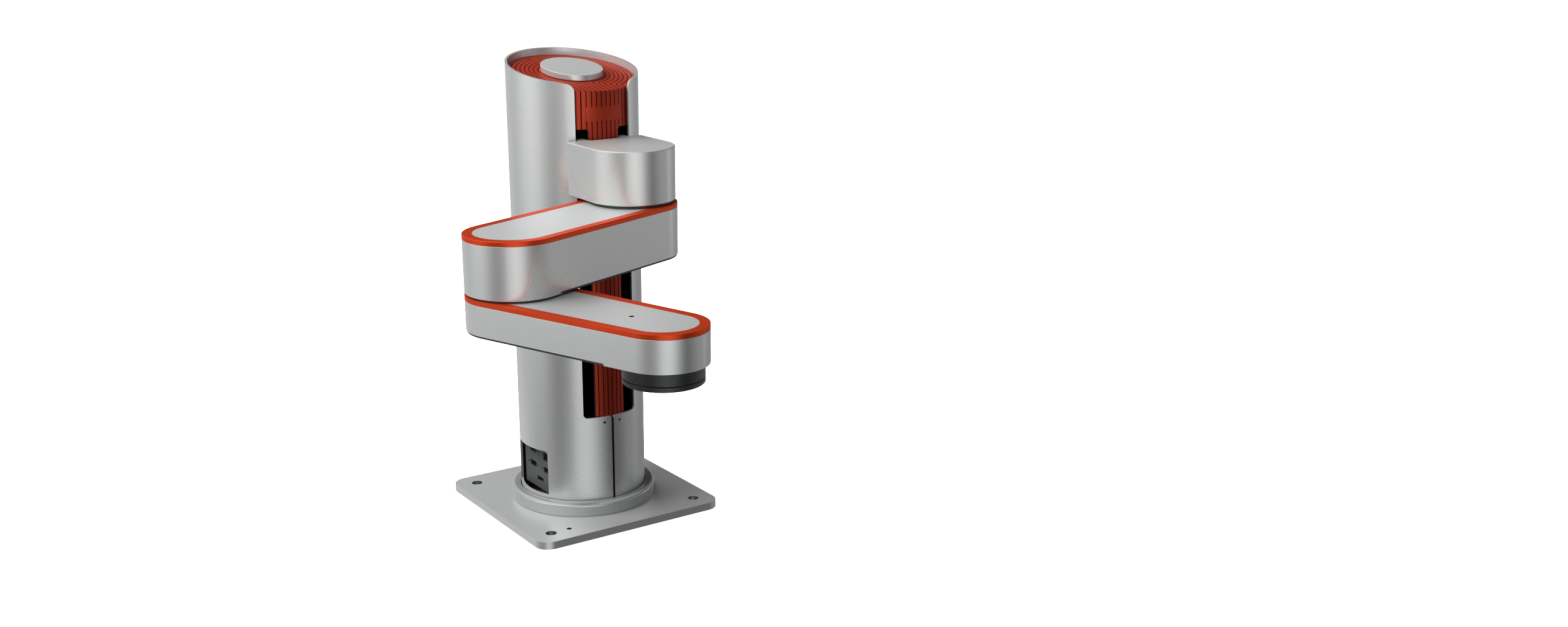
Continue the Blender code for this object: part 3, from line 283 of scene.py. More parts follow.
def powder_coat(name, rgb, rough):
    """Powder coat on sheet steel: fine pebbled skin about 0.6 mm from bump to bump."""
    made, tree, shader, place = new_finish(name, Metallic=0.0)
    pebble = add(tree, "ShaderNodeTexVoronoi", {"Vector": place, "Scale": 1 / (0.6 * MM)},
                 feature="SMOOTH_F1").outputs["Distance"]
    cloud = add(tree, "ShaderNodeTexNoise", {"Vector": place, "Scale": 40.0, "Detail": 2.0}).outputs["Fac"]
    skin(tree, shader, (scaled(rgb, 0.9), scaled(rgb, 1.08)), cloud, pebble, 0.03 * MM, (rough, rough + 0.1),
         pebble, rough_span=(0.0, 0.8))
    return made


def black_blasted(name, rgb):
    """Black anodised flange, blasted coarse: a matte skin with pale speckles about 0.5 mm across."""
    made, tree, shader, place = new_finish(name, Metallic=1.0)
    speck = add(tree, "ShaderNodeTexNoise", {"Vector": place, "Scale": 1 / (0.55 * MM), "Detail": 3.0,
                                             "Roughness": 0.75}).outputs["Fac"]
    skin(tree, shader, (scaled(rgb, 0.6), scaled(rgb, 1.5)), speck, speck, 0.05 * MM, (0.46, 0.36), speck,
         tint_span=(0.36, 0.68))
    return made


def turned_metal(name, rgb, rough, pitch):
    """Turned or ground metal: fine rings round the axis, drawn at the pitch given."""
    made, tree, shader, place = new_finish(name, Metallic=1.0)
    rings = add(tree, "ShaderNodeTexWave", {"Vector": place, "Scale": 1 / (pitch * FULL_TURN),
                                            "Distortion": 1.5, "Detail": 2.0},
                bands_direction="Z").outputs["Fac"]
    skin(tree, shader, (scaled(rgb, 0.9), scaled(rgb, 1.06)), rings, rings, 0.004 * MM,
         (rough - 0.04, rough + 0.06), rings, rough_span=(0.0, 1.0))
    return made


def ribbed_rubber(name):
    """Black belt rubber: dull, with cross ribs 2 mm apart."""
    made, tree, shader, place = new_finish(name, Metallic=0.0, IOR=1.52, Roughness=0.85)
    ribs = add(tree, "ShaderNodeTexWave", {"Vector": place, "Scale": 1 / (2.0 * MM * FULL_TURN)},
               bands_direction="DIAGONAL").outputs["Fac"]
    skin(tree, shader, (linear("131313"), linear("242424")), ribs, ribs, 0.2 * MM)
    return made


FINISH = {}


def make_finishes():
    """Every finish of the robot, from the colours that the user may change."""
    tint = bpy.context.scene.robot_colours
    FINISH.update({
        "silver": blasted_anodised("blasted_anodised_aluminium", tint.silver, 0.27, 0.5 * MM),
        "pale": blasted_anodised("fine_anodised_aluminium", tint.pale, 0.42, 0.4 * MM, bump=0.001 * MM),
        "plate": blasted_anodised("ground_aluminium_plate", tint.plate, 0.34, 0.6 * MM),
        # Silver at 0.72 of its brightness with lower roughness: the smoothness is real, the darker colour is
        # painted shade.
        "ring": blasted_anodised("smooth_anodised_aluminium_painted_shade", scaled(tint.silver, 0.72), 0.18, 0.6 * MM),
        # Turned rings of a bored surface, in a grey darker than the plate: the rings are real, the darker
        # grey is painted shade in the holes.
        "bore": turned_metal("bored_aluminium_painted_shade", linear("95979A"), 0.38, 0.6 * MM),
        "column": orange_anodised("orange_anodised_aluminium", tint.column, 0.30),
        # Column orange at a sixth of its brightness for the faces of the grooves and the vent hole: painted
        # shade in the recesses.
        "groove": orange_anodised("orange_anodised_groove_painted_shade", scaled(tint.column, 0.16), 0.6),
        "trim": orange_anodised("orange_anodised_trim", tint.trim, 0.28, (1.0, 0.3, 0.2), METAL_SHARE),
        "panel": powder_coat("grey_powder_coat", tint.panel, 0.5),
        "cover": powder_coat("dark_powder_coat", linear("343636"), 0.5),
        "flange": black_blasted("black_blasted_aluminium", tint.flange),
        "black": moulded_plastic("black_moulded_plastic", linear("101010"), 0.55, 0.4 * MM, 0.02 * MM),
        # Near-black for the seam walls, slot walls, column bore, socket recesses, plug hole and carriage
        # frame: painted shadow.
        "void": powder_coat("painted_shadow_black", linear("050505"), 0.85),
        "casting": powder_coat("black_motor_paint", linear("181919"), 0.5),
        "steel": turned_metal("ground_steel", linear("B4B4B2"), 0.28, 0.5 * MM),
        "dark_steel": turned_metal("black_oxide_steel", linear("2B2B2C"), 0.42, 0.5 * MM),
        "machined": blasted_anodised("machined_aluminium", linear("B8BABA"), 0.40, 0.8 * MM),
        "bronze": turned_metal("bearing_bronze", linear("A98147"), 0.35, 0.5 * MM),
        "rubber": ribbed_rubber("belt_rubber"),
    })


# Outlines
def arc(centre, radius, start, end, steps):
    """Points of an arc, both ends included, with angles in radians."""
    turn = (end - start) / steps
    return [(centre[0] + radius * math.cos(start + turn * i), centre[1] + radius * math.sin(start + turn * i))
            for i in range(steps + 1)]


def circle(centre, radius, steps=FINE):
    """Points of a full circle."""
    return arc(centre, radius, 0, FULL_TURN * (steps - 1) / steps, steps - 1)


def rounded(corners, steps=8):
    """An outline from its corners (x, y, radius), each rounded by its radius."""
    points = []
    for index, (x, y, radius) in enumerate(corners):
        if radius <= 0:
            points.append((x, y))
            continue
        before, after = corners[index - 1], corners[(index + 1) % len(corners)]
        into = math.atan2(before[1] - y, before[0] - x)
        out = math.atan2(after[1] - y, after[0] - x)
        opening = (out - into + math.pi) % FULL_TURN - math.pi
        reach = radius / math.tan(abs(opening) / 2)
        away = math.hypot(radius, reach)
        middle = into + opening / 2
        centre = (x + away * math.cos(middle), y + away * math.sin(middle))
        start = math.atan2(y + reach * math.sin(into) - centre[1], x + reach * math.cos(into) - centre[0])
        end = math.atan2(y + reach * math.sin(out) - centre[1], x + reach * math.cos(out) - centre[0])
        sweep = (end - start + math.pi) % FULL_TURN - math.pi
        points += arc(centre, radius, start, start + sweep, steps)
    return points


def rounded_box(width, depth, radius, centre=(0, 0)):
    """Outline of a rectangle with rounded corners."""
    signs = ((-1, -1), (1, -1), (1, 1), (-1, 1))
    return rounded([(centre[0] + sx * width / 2, centre[1] + sy * depth / 2, radius) for sx, sy in signs])


def link_outline(span, root, tip):
    """Two round ends joined by their common tangents, the root at the origin."""
    lean = math.asin((root - tip) / span)
    quarter = math.pi / 2
    return (arc((0, 0), root, quarter - lean, 3 * quarter + lean, LINK_END)
            + arc((span, 0), tip, lean - quarter, quarter - lean, LINK_END))


# Shapes
def as_object(name, bm, material=None):
    """Turn a bmesh into an object with outward faces."""
    bmesh.ops.recalc_face_normals(bm, faces=bm.faces)
    mesh = bpy.data.meshes.new(name)
    bm.to_mesh(mesh)
    bm.free()
    made = bpy.data.objects.new(name, mesh)
    bpy.context.scene.collection.objects.link(made)
    if material:
        mesh.materials.append(FINISH[material])
    return made


def baked(thing):
    """The mesh of an object as its modifiers and settings make it."""
    bpy.context.view_layer.update()
    return bpy.data.meshes.new_from_object(thing.evaluated_get(bpy.context.evaluated_depsgraph_get()))


def settle(piece):
    """Bake a piece's modifiers into its mesh."""
    mesh = baked(piece)
    piece.modifiers.clear()
    piece.data = mesh
    return piece


def drawing(name, lines, height=0.0, filled=False):
    """A curve object along lines of points, each closed and filled where asked."""
    curve = bpy.data.curves.new(name, "CURVE")
    curve.dimensions = "2D" if filled else "3D"
    for points in lines:
        spline = curve.splines.new("POLY")
        spline.points.add(len(points) - 1)
        for point, (x, y) in zip(spline.points, points):
            point.co = (x, y, height, 1)
        spline.use_cyclic_u = filled
    made = bpy.data.objects.new(name, curve)
    bpy.context.scene.collection.objects.link(made)
    return made


TURNS = {
    "Z": Matrix.Identity(4),
    "X": Matrix(((0, 0, 1, 0), (1, 0, 0, 0), (0, 1, 0, 0), (0, 0, 0, 1))),
    "-Y": Matrix.Rotation(math.pi / 2, 4, "X"),
}


def slab(name, outlines, low, high, material=None, along="Z"):
    """A flat outline with holes, filled, and made thick from low to high along an axis."""
    outline = drawing(name + "_outline", outlines, filled=True)
    outline.data.fill_mode = "BOTH"
    outline.data.extrude = (high - low) / 2
    bm = bmesh.new()
    bm.from_mesh(baked(outline))
    bpy.data.objects.remove(outline)
    bmesh.ops.remove_doubles(bm, verts=bm.verts, dist=1e-6)
    bmesh.ops.dissolve_limit(bm, angle_limit=math.radians(0.1), verts=bm.verts, edges=bm.edges)
    bmesh.ops.translate(bm, verts=bm.verts, vec=(0, 0, (low + high) / 2))
    bmesh.ops.transform(bm, verts=bm.verts, matrix=TURNS[along])
    return as_object(name, bm, material)


def drum(name, radius, low, high, material=None, centre=(0, 0), slope=(0, 0), steps=ROUND):
    """A cylinder whose bottom and top faces may slant along X."""
    bm = bmesh.new()
    bmesh.ops.create_cone(bm, cap_ends=True, segments=steps, radius1=radius, radius2=radius, depth=high - low)
    for vert in bm.verts:
        lean = slope[1] if vert.co.z > 0 else slope[0]
        vert.co.z += (low + high) / 2 + lean * vert.co.x
    bmesh.ops.translate(bm, verts=bm.verts, vec=(*centre, 0))
    return as_object(name, bm, material)


def turned(name, profile, material, centre=(0, 0), steps=ROUND):
    """A profile of (radius, height) turned round the vertical, closed at the axis or into a ring."""
    bm = bmesh.new()
    rings = []
    for radius, height in profile:
        around = arc(centre, radius, 0, FULL_TURN, steps)[:-1] if radius > 0 else [centre]
        rings.append([bm.verts.new((x, y, height)) for x, y in around])
    following = rings[1:] + (rings[:1] if profile[0][0] > 0 else [])
    for one, other in zip(rings, following):
        for i in range(steps):
            corners = (one[i % len(one)], one[(i + 1) % len(one)], other[(i + 1) % len(other)],
                       other[i % len(other)])
            bm.faces.new(tuple(dict.fromkeys(corners)))
    return as_object(name, bm, material)


def carve(piece, *cutters):
    """Cut each cutter out of a piece. The cut faces keep the cutter's own finish where it has one."""
    for cutter in cutters:
        boolean = piece.modifiers.new("Cut", "BOOLEAN")
        boolean.operation = "DIFFERENCE"
        boolean.solver = "EXACT"
        boolean.material_mode = "TRANSFER" if cutter.data.materials else "INDEX"
        boolean.object = cutter
        settle(piece)
        bpy.data.objects.remove(cutter)
    return piece


def refinish(piece, finish, wanted):
    """Give the faces that are wanted a finish of their own."""
    piece.data.materials.append(FINISH[finish])
    for face in piece.data.polygons:
        if wanted(face):
            face.material_index = len(piece.data.materials) - 1


def shade(piece):
    """Shade a piece smooth, with its sharp edges kept."""
    piece.data.shade_smooth()
    piece.data.set_sharp_from_angle(angle=SMOOTH_ANGLE)


def smooth(piece, edge=0.0, segments=3):
    """Round the sharp edges, then shade smooth with the flat faces kept flat."""
    shade(piece)
    if edge > 0:
        bevel = piece.modifiers.new("Edge", "BEVEL")
        bevel.width = edge
        bevel.segments = segments
        bevel.limit_method = "ANGLE"
        bevel.angle_limit = SMOOTH_ANGLE
        bevel.use_clamp_overlap = True
        bevel.miter_outer = "MITER_ARC"
        shade(settle(piece))
    weigh = piece.modifiers.new("Weigh", "WEIGHTED_NORMAL")
    weigh.keep_sharp = True
    return settle(piece)


def hand_over(piece, body, nodes=(), place=None):
    """Put a finished piece in its place, on its body, in place of the plain nodes."""
    if place is not None:
        piece.data.transform(place)
    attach(piece, body)
    if nodes:
        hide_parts(*nodes)
    return piece


# Geometry node trees
def new_tree(name, sizes):
    """A geometry tree with named inputs, and what those inputs give."""
    tree = bpy.data.node_groups.new(name, "GeometryNodeTree")
    tree.interface.new_socket("Geometry", in_out="INPUT", socket_type="NodeSocketGeometry")
    for title, kind in {**sizes, "Finish": "Material"}.items():
        tree.interface.new_socket(title, in_out="INPUT", socket_type="NodeSocket" + kind)
    tree.interface.new_socket("Geometry", in_out="OUTPUT", socket_type="NodeSocketGeometry")
    return tree, add(tree, "NodeGroupInput").outputs


def close_tree(tree, given, geometry):
    """End a tree with real geometry that has its finish."""
    real = add(tree, "GeometryNodeRealizeInstances", {"Geometry": geometry})
    finished = add(tree, "GeometryNodeSetMaterial", {"Geometry": real.outputs["Geometry"],
                                                     "Material": given["Finish"]})
    add(tree, "NodeGroupOutput", {"Geometry": finished.outputs["Geometry"]})
    return tree


def grow(name, tree, values, base=None):
    """Run a geometry tree on an object, with its inputs set by name, and keep only the mesh."""
    base = base or as_object(name, bmesh.new())
    nodes = base.modifiers.new("Grow", "NODES")
    nodes.node_group = tree
    for item in tree.interface.items_tree:
        if item.in_out == "INPUT" and item.name in values:
            nodes[item.identifier] = values[item.name]
    mesh = baked(base)
    base.modifiers.clear()
    bpy.data.objects.remove(base)
    grown = bpy.data.objects.new(name, mesh)
    bpy.context.scene.collection.objects.link(grown)
    return grown


def groove_strip_tree():
    """Upright strips, side by side, each as wide, deep and tall as asked."""
    tree, given = new_tree("groove_strips", {"Count": "Int", "Pitch": "Float", "Start": "Float",
                                             "Size": "Vector", "Front": "Float", "Middle": "Float"})
    start = add(tree, "ShaderNodeCombineXYZ", {"X": given["Front"], "Y": given["Start"],
                                               "Z": given["Middle"]})
    step = add(tree, "ShaderNodeCombineXYZ", {"Y": given["Pitch"]})
    row = add(tree, "GeometryNodeMeshLine", {"Count": given["Count"], "Start Location": start.outputs[0],
                                             "Offset": step.outputs[0]}, mode="OFFSET")
    strip = add(tree, "GeometryNodeMeshCube", {"Size": given["Size"]})
    strips = add(tree, "GeometryNodeInstanceOnPoints", {"Points": row.outputs["Mesh"],
                                                        "Instance": strip.outputs["Mesh"]})
    return close_tree(tree, given, strips.outputs["Instances"])


def swept_groove_tree():
    """A square profile swept along each curve of an object, then leaned with the slanted top."""
    tree, given = new_tree("swept_grooves", {"Width": "Float", "Depth": "Float", "Slope": "Float"})
    upright = add(tree, "GeometryNodeSetCurveNormal", {"Curve": given["Geometry"]}, mode="Z_UP")
    profile = add(tree, "GeometryNodeCurvePrimitiveQuadrilateral", {"Width": given["Width"],
                                                                    "Height": given["Depth"]})
    swept = add(tree, "GeometryNodeCurveToMesh", {"Curve": upright.outputs["Curve"], "Fill Caps": True,
                                                  "Profile Curve": profile.outputs["Curve"]})
    where = add(tree, "ShaderNodeSeparateXYZ", {"Vector": add(tree, "GeometryNodeInputPosition").outputs[0]})
    lean = add(tree, "ShaderNodeMath", {0: where.outputs["X"], 1: given["Slope"]}, operation="MULTIPLY")
    shift = add(tree, "ShaderNodeCombineXYZ", {"Z": lean.outputs[0]})
    leaned = add(tree, "GeometryNodeSetPosition", {"Geometry": swept.outputs["Mesh"],
                                                   "Offset": shift.outputs[0]})
    return close_tree(tree, given, leaned.outputs["Geometry"])


def scatter_tree():
    """One copy of an object at each point of another."""
    tree, given = new_tree("copies_on_points", {"Item": "Object"})
    item = add(tree, "GeometryNodeObjectInfo", {"Object": given["Item"]})
    copies = add(tree, "GeometryNodeInstanceOnPoints", {"Points": given["Geometry"],
                                                        "Instance": item.outputs["Geometry"]})
    return close_tree(tree, given, copies.outputs["Instances"])


def thread_tree():
    """A round ridge that winds up a shaft."""
    tree, given = new_tree("wound_thread", {"Turns": "Float", "Radius": "Float", "Height": "Float",
                                            "Ridge": "Float"})
    spiral = add(tree, "GeometryNodeCurveSpiral", {"Resolution": 24, "Rotations": given["Turns"],
                                                   "Start Radius": given["Radius"],
                                                   "End Radius": given["Radius"], "Height": given["Height"]})
    ridge = add(tree, "GeometryNodeCurvePrimitiveCircle", {"Resolution": 8, "Radius": given["Ridge"]})
    swept = add(tree, "GeometryNodeCurveToMesh", {"Curve": spiral.outputs["Curve"],
                                                  "Profile Curve": ridge.outputs["Curve"], "Fill Caps": True})
    return close_tree(tree, given, swept.outputs["Mesh"])


def points_object(name, places):
    """An object of loose points."""
    bm = bmesh.new()
    for place in places:
        bm.verts.new(place)
    return as_object(name, bm)


def socket_screw(radius, height, drive):
    """A screw head with a hexagonal drive, its head standing down from the origin."""
    head = turned("screw_head", [(0, 0), (radius, 0), (radius, -height + 0.15 * radius),
                                 (radius * 0.85, -height), (0, -height)], None, steps=24)
    hexagon = slab("drive", [circle((0, 0), drive, 6)], -height - OVERCUT, -0.45 * height)
    return smooth(carve(head, hexagon))


def scatter(name, item, places, material, body, place=None):
    """Copies of one item at several places, as one piece, in place of the item."""
    values = {"Item": item, "Finish": FINISH[material]}
    piece = grow(name, scatter_tree(), values, points_object(name, places))
    bpy.data.objects.remove(item)
    shade(piece)
    return hand_over(piece, body, place=place)


# Base
def build_plate():
    """Square plate with four bolt holes and two dowel holes."""
    holes = [circle((sx * BOLT_HALF, sy * BOLT_HALF), BOLT_HOLE) for sx in (-1, 1) for sy in (-1, 1)]
    holes += [circle((side * BOLT_HALF, -side * DOWEL_HALF), DOWEL_HOLE, 32) for side in (-1, 1)]
    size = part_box("base_plate")[1]
    outline = rounded_box(2 * size.x, 2 * size.y, PLATE_CORNER)
    plate = slab("mounting_plate", [outline, *holes], 0, size.z, "plate")
    smooth(plate, bpy.context.scene.robot_sizes.plate_edge)
    inside = size.x - 5 * MM
    # The hole walls take the darker bore finish: painted shade in the holes.
    refinish(plate, "bore", lambda face: abs(face.normal.z) < 0.1
             and max(abs(face.center.x), abs(face.center.y)) < inside)
    hand_over(plate, "base", ["base_plate"])


def build_ring():
    """Collar round the foot of the shell, with a broad rounding outside and a small one at its bore."""
    low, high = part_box("base_ring")
    floor, top, outer = low.z, high.z, high.y
    bore = SHELL_RADIUS + 0.8 * MM
    broad, small = 3.8 * MM, 1.5 * MM
    profile = arc((outer - broad, top - broad), broad, 0, math.pi / 2, 14)
    profile += arc((bore + small, top - small), small, math.pi / 2, math.pi, 8)
    profile += [(bore, floor), (outer, floor)]
    # The ring takes the darker copy of silver: painted shade over the whole ring.
    hand_over(smooth(turned("foot_ring", profile, "ring")), "base", ["base_ring"])


def slot_outline():
    """The shell's front opening in Y and Z: seam, rounded slot and flared mouth."""
    flare = SLOT_HALF + SLOT_FLARE
    mouth = SHELL_HEIGHT + SLOPE * math.sqrt(SHELL_RADIUS ** 2 - flare ** 2)
    side = [(SEAM_HALF, -OVERCUT, 0), (SEAM_HALF, SLOT_BOTTOM, SEAM_CORNER),
            (SLOT_HALF, SLOT_BOTTOM, SLOT_CORNER), (SLOT_HALF, mouth, SLOT_FLARE), (flare, mouth, 0),
            (flare, mouth + 4 * OVERCUT, 0)]
    return rounded(side + [(-y, z, radius) for y, z, radius in reversed(side)])


def build_shell():
    """Thin tube, cut slanting at the top, slotted in front and open at the sockets."""
    shell = drum("column_shell", SHELL_RADIUS, SHELL_FOOT, SHELL_HEIGHT, "silver", slope=(0, SLOPE))
    bore = drum("bore", SHELL_BORE, -OVERCUT, SHELL_HEIGHT + 4 * OVERCUT)
    slot = slab("slot", [slot_outline()], 0, 2 * SHELL_RADIUS, along="X")
    (low, high), (sharp, soft) = WINDOW_SPAN, WINDOW_CORNERS
    corners = [(-WINDOW_HALF, low, sharp), (WINDOW_HALF, low, sharp), (WINDOW_HALF, high, soft),
               (-WINDOW_HALF, high, soft)]
    carve(shell, bore, slot, slab("window", [rounded(corners)], 0, 2 * SHELL_RADIUS, along="-Y"))
    aside, up = SEAM_SCREW_PLACE
    for side in (-1, 1):
        hole = circle((side * aside, up), SEAM_SCREW_HOLE, 24)
        carve(shell, slab("screw_hole", [hole], 0, 2 * SHELL_RADIUS, along="X"))
    smooth(shell, bpy.context.scene.robot_sizes.edge)
    # The seam's walls below the slot take the near-black finish: painted shadow in the gap.
    refinish(shell, "void", lambda face: face.center.x > 0 and face.center.z < SLOT_BOTTOM
             and abs(abs(face.center.y) - SEAM_HALF) < 0.05 * MM)
    hand_over(shell, "base", ["outer_shell"])


def groove_offset(index):
    """Distance of a front groove from the middle."""
    return (index + 0.5) * GROOVE_PITCH


def front_groove_cutters():
    """Pairs of upright strips: the full grooves, and those that stop at the bare band."""
    sizes = bpy.context.scene.robot_sizes
    tree = groove_strip_tree()
    low = COLUMN_BOTTOM - OVERCUT
    high = SHELL_HEIGHT + OVERCUT
    above_slot = ARM_SLOT[3] - 1.0 * MM
    band_low, band_high = BARE_BAND
    spans = [(0, FULL_GROOVES, low, band_low), (0, BARE_BAND_GROOVES, band_high, high),
             (FULL_GROOVES, BARE_BAND_GROOVES, above_slot, band_low),
             (BARE_BAND_GROOVES, GROOVES, above_slot, high)]
    for first, last, bottom, top in spans:
        for index in range(first, last):
            y = groove_offset(index)
            depth_x = math.sqrt(COLUMN_RADIUS ** 2 - y ** 2) - sizes.groove_depth
            # The strips carry the dark groove finish onto the grooves' walls and floors: painted shade.
            values = {"Count": 2, "Pitch": 2 * y, "Start": -y,
                      "Size": (COLUMN_RADIUS, sizes.groove_width, top - bottom),
                      "Front": depth_x + COLUMN_RADIUS / 2, "Middle": (top + bottom) / 2,
                      "Finish": FINISH["groove"]}
            yield grow("groove_strips", tree, values)


def loop_line(index):
    """The middle line of a top groove: from the front edge, round behind the cap and back."""
    radius = LOOP_FIRST_RADIUS + index * LOOP_PITCH
    offset = groove_offset(index)
    reach = radius + LOOP_BEND
    centre = (math.sqrt(reach ** 2 - (offset + LOOP_BEND) ** 2), offset + LOOP_BEND)
    turn = math.atan2(centre[1], centre[0])
    half = [(COLUMN_RADIUS + 2 * MM, offset)] + arc(centre, LOOP_BEND, -math.pi / 2, turn - math.pi, 10)
    back = arc((0, 0), radius, turn, FULL_TURN - turn, 110)[1:-1]
    return half + back + [(x, -y) for x, y in reversed(half)]


def loop_cutters():
    """The grooves of the slanted top, swept along their middle lines."""
    sizes = bpy.context.scene.robot_sizes
    lines = drawing("loops", [loop_line(index) for index in range(GROOVES)], COLUMN_TOP)
    # The swept cutters carry the dark groove finish onto the loops' walls and floors: painted shade.
    values = {"Width": sizes.loop_width, "Depth": 2 * sizes.groove_depth, "Slope": SLOPE,
              "Finish": FINISH["groove"]}
    return grow("loop_cutters", swept_groove_tree(), values, lines)


def build_column():
    """Grooved orange column with its slanted lid and two slots for the carriage's arms."""
    column = drum("grooved_column", COLUMN_RADIUS, COLUMN_BOTTOM, COLUMN_TOP, "column", slope=(0, SLOPE))
    smooth(column, LID_EDGE, 2)
    carve(column, loop_cutters(), *front_groove_cutters())
    # The tube's inner faces take the near-black finish: painted shadow inside the column.
    carve(column, drum("void", COLUMN_BORE, COLUMN_BOTTOM - OVERCUT, COLUMN_TOP - COLUMN_LID, "void",
                       slope=(0, SLOPE)))
    # The arm slots' walls take the near-black finish: painted shadow in the slots.
    inner, outer, low, high = ARM_SLOT
    for side in (-1, 1):
        outline = rounded_box(outer - inner, high - low, ARM_SLOT_CORNER,
                              (side * (inner + outer) / 2, (low + high) / 2))
        carve(column, slab("arm_slot", [outline], 0, 2 * COLUMN_RADIUS, "void", along="X"))
    # The vent hole's walls take the dark groove finish: painted shade in the hole.
    carve(column, drum("vent_hole", VENT_RADIUS, COLUMN_TOP - 2 * MM, COLUMN_TOP + OVERCUT, "groove",
                       VENT_PLACE, steps=24))
    hand_over(smooth(column), "base", ["inner_column"])


def build_cap():
    """Low disc on the lid, pale on top and silver round its side, parallel to the slanted rim."""
    cap = drum("cap_disc", CAP_RADIUS, COLUMN_TOP + SEAT, SHELL_HEIGHT - CAP_DIP, "pale",
               slope=(SLOPE, SLOPE))
    smooth(cap, bpy.context.scene.robot_sizes.cap_edge, 4)
    refinish(cap, "silver", lambda face: abs(face.normal.z) < 0.9)
    hand_over(cap, "base", ["top_cap"])


# Sockets
SIGNAL_SIZE = (13.6 * MM, 6.2 * MM)
SIGNAL_PLACES = ((-10.3 * MM, 44.0 * MM), (17.4 * MM, 44.0 * MM), (-10.3 * MM, 59.5 * MM))
# Place across and up, width and height
NETWORK = (3.5 * MM, 31.4 * MM, 12.3 * MM, 4.8 * MM)
POWER = (15.0 * MM, 57.5 * MM, 8.0 * MM, 8.0 * MM)
RECESS = 2.0 * MM                 # how deep a socket is
PIN_RADIUS, PIN_LENGTH = 0.28 * MM, 1.4 * MM


def signal_outline(place, grown=0.0):
    """D-shaped outline of a signal socket, larger or smaller by a margin."""
    x, z = place
    half_w, half_h = SIGNAL_SIZE[0] / 2 + grown, SIGNAL_SIZE[1] / 2 + grown
    lean, corner = 0.9 * MM, 1.0 * MM
    return rounded([(x - half_w + lean, z - half_h, corner), (x + half_w - lean, z - half_h, corner),
                    (x + half_w, z + half_h, corner), (x - half_w, z + half_h, corner)], 6)


def build_panel():
    """Flat panel with the cut-outs of its five sockets."""
    low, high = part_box("connector_panel")
    bottom = low.z + 2.2 * MM
    middle = ((low.x + high.x) / 2, (bottom + high.z) / 2)
    outlines = [rounded_box(high.x - low.x, high.z - bottom, 0, middle)]
    post_aside, post_hole = 10.05 * MM, 1.1 * MM
    for x, z in SIGNAL_PLACES:
        outlines.append(signal_outline((x, z)))
        outlines += [circle((x + side * post_aside, z), post_hole, 24) for side in (-1, 1)]
    for x, z, width, height in (NETWORK, POWER):
        outlines.append(rounded_box(width, height, 0.4 * MM, (x, z)))
    panel = slab("socket_panel", outlines, -high.y, -low.y, "panel", along="-Y")
    hand_over(smooth(panel, SHEET_EDGE, 1), "base", ["connector_panel"])


def build_socket(name, node, outer, inner):
    """One recessed socket behind the panel, as deep as the first."""
    low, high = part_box("signal_socket_1")
    face = -low.y
    socket = slab(name, [outer], -high.y, face, "black", along="-Y")
    # The recess faces take the near-black finish: painted shadow in the socket.
    carve(socket, slab("recess", [inner], face - RECESS, face + OVERCUT, "void", along="-Y"))
    hand_over(smooth(socket, SMALL_EDGE, 2), "base", [node])


def pin_row(x, z, count, pitch):
    """Places of a row of contact pins, on the floors of the sockets."""
    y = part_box("signal_socket_1")[0].y + RECESS
    return [(x + (i - (count - 1) / 2) * pitch, y, z) for i in range(count)]


def build_sockets():
    """The five sockets, with rows of contact pins."""
    pins = []
    for number, (x, z) in enumerate(SIGNAL_PLACES, 1):
        build_socket(f"d_socket_{number}", f"signal_socket_{number}", signal_outline((x, z), 1.0 * MM),
                     signal_outline((x, z), -0.7 * MM))
        pins += pin_row(x, z - 0.9 * MM, 4, 2.2 * MM) + pin_row(x, z + 0.9 * MM, 5, 2.2 * MM)
    for name, node, (x, z, width, height) in (("network_jack", "network_socket", NETWORK),
                                              ("power_inlet", "power_socket", POWER)):
        build_socket(name, node, rounded_box(width + 2 * MM, height + 2 * MM, 0, (x, z)),
                     rounded_box(width - 1.2 * MM, height - 1.2 * MM, 0.4 * MM, (x, z)))
    pins += pin_row(NETWORK[0], NETWORK[1], 8, 1.1 * MM) + pin_row(POWER[0], POWER[1] + 0.5 * MM, 3, 2.4 * MM)
    pin = slab("pin", [circle((0, 0), PIN_RADIUS, 10)], 0, PIN_LENGTH, along="-Y")
    scatter("contact_pins", pin, pins, "dark_steel", "base")


# Lift drive
def build_lift():
    """Ball screw with its wound thread."""
    low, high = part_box("ball_screw")
    centre = ((low.x + high.x) / 2, 0)
    core, end, collar, ridge = 5.3 * MM, 4 * MM, 10 * MM, 0.65 * MM
    collar_low, collar_high, neck = 97.7 * MM, 115.7 * MM, 382 * MM
    profile = [(0, high.z), (end, high.z), (end, neck), (core, neck), (core, collar_high),
               (collar, collar_high), (collar, collar_low), (end, collar_low), (end, low.z), (0, low.z)]
    screw = turned("lead_screw", profile, "steel", centre, 48)
    hand_over(smooth(screw, SMALL_EDGE, 2), "ball_screw", ["ball_screw"])
    pitch, margin = 4 * MM, 2 * MM
    height = neck - collar_high - 2 * margin
    values = {"Turns": height / pitch, "Radius": core, "Height": height, "Ridge": ridge,
              "Finish": FINISH["steel"]}
    thread = grow("screw_thread", thread_tree(), values)
    thread.data.shade_smooth()
    place = Matrix.Translation((*centre, collar_high + margin))
    hand_over(thread, "ball_screw", place=place)


def dress_nodes():
    """Finishes for the nodes that stay as they are: the pedestal and what the housings hide."""
    nodes = {
        "casting": ("pedestal", "lift_motor", "shoulder_motor", "elbow_motor", "roll_motor"),
        "dark_steel": ("lower_bearing_plate", "upper_bearing_plate", "guide_rod_left", "guide_rod_right",
                       "ball_nut"),
        "steel": ("shoulder_reducer", "elbow_reducer", "roll_bearing"),
        "bronze": ("guide_bush_left", "guide_bush_right"),
        "machined": ("tool_pulley", "roll_motor_pulley"),
        "rubber": ("roll_belt",),
        # The carriage frame seen through the slots takes the near-black finish: painted shadow.
        "void": ("carriage_frame",),
    }
    for finish, names in nodes.items():
        for name in names:
            mesh = frame["nodes"][name].data
            mesh.materials.clear()
            mesh.materials.append(FINISH[finish])


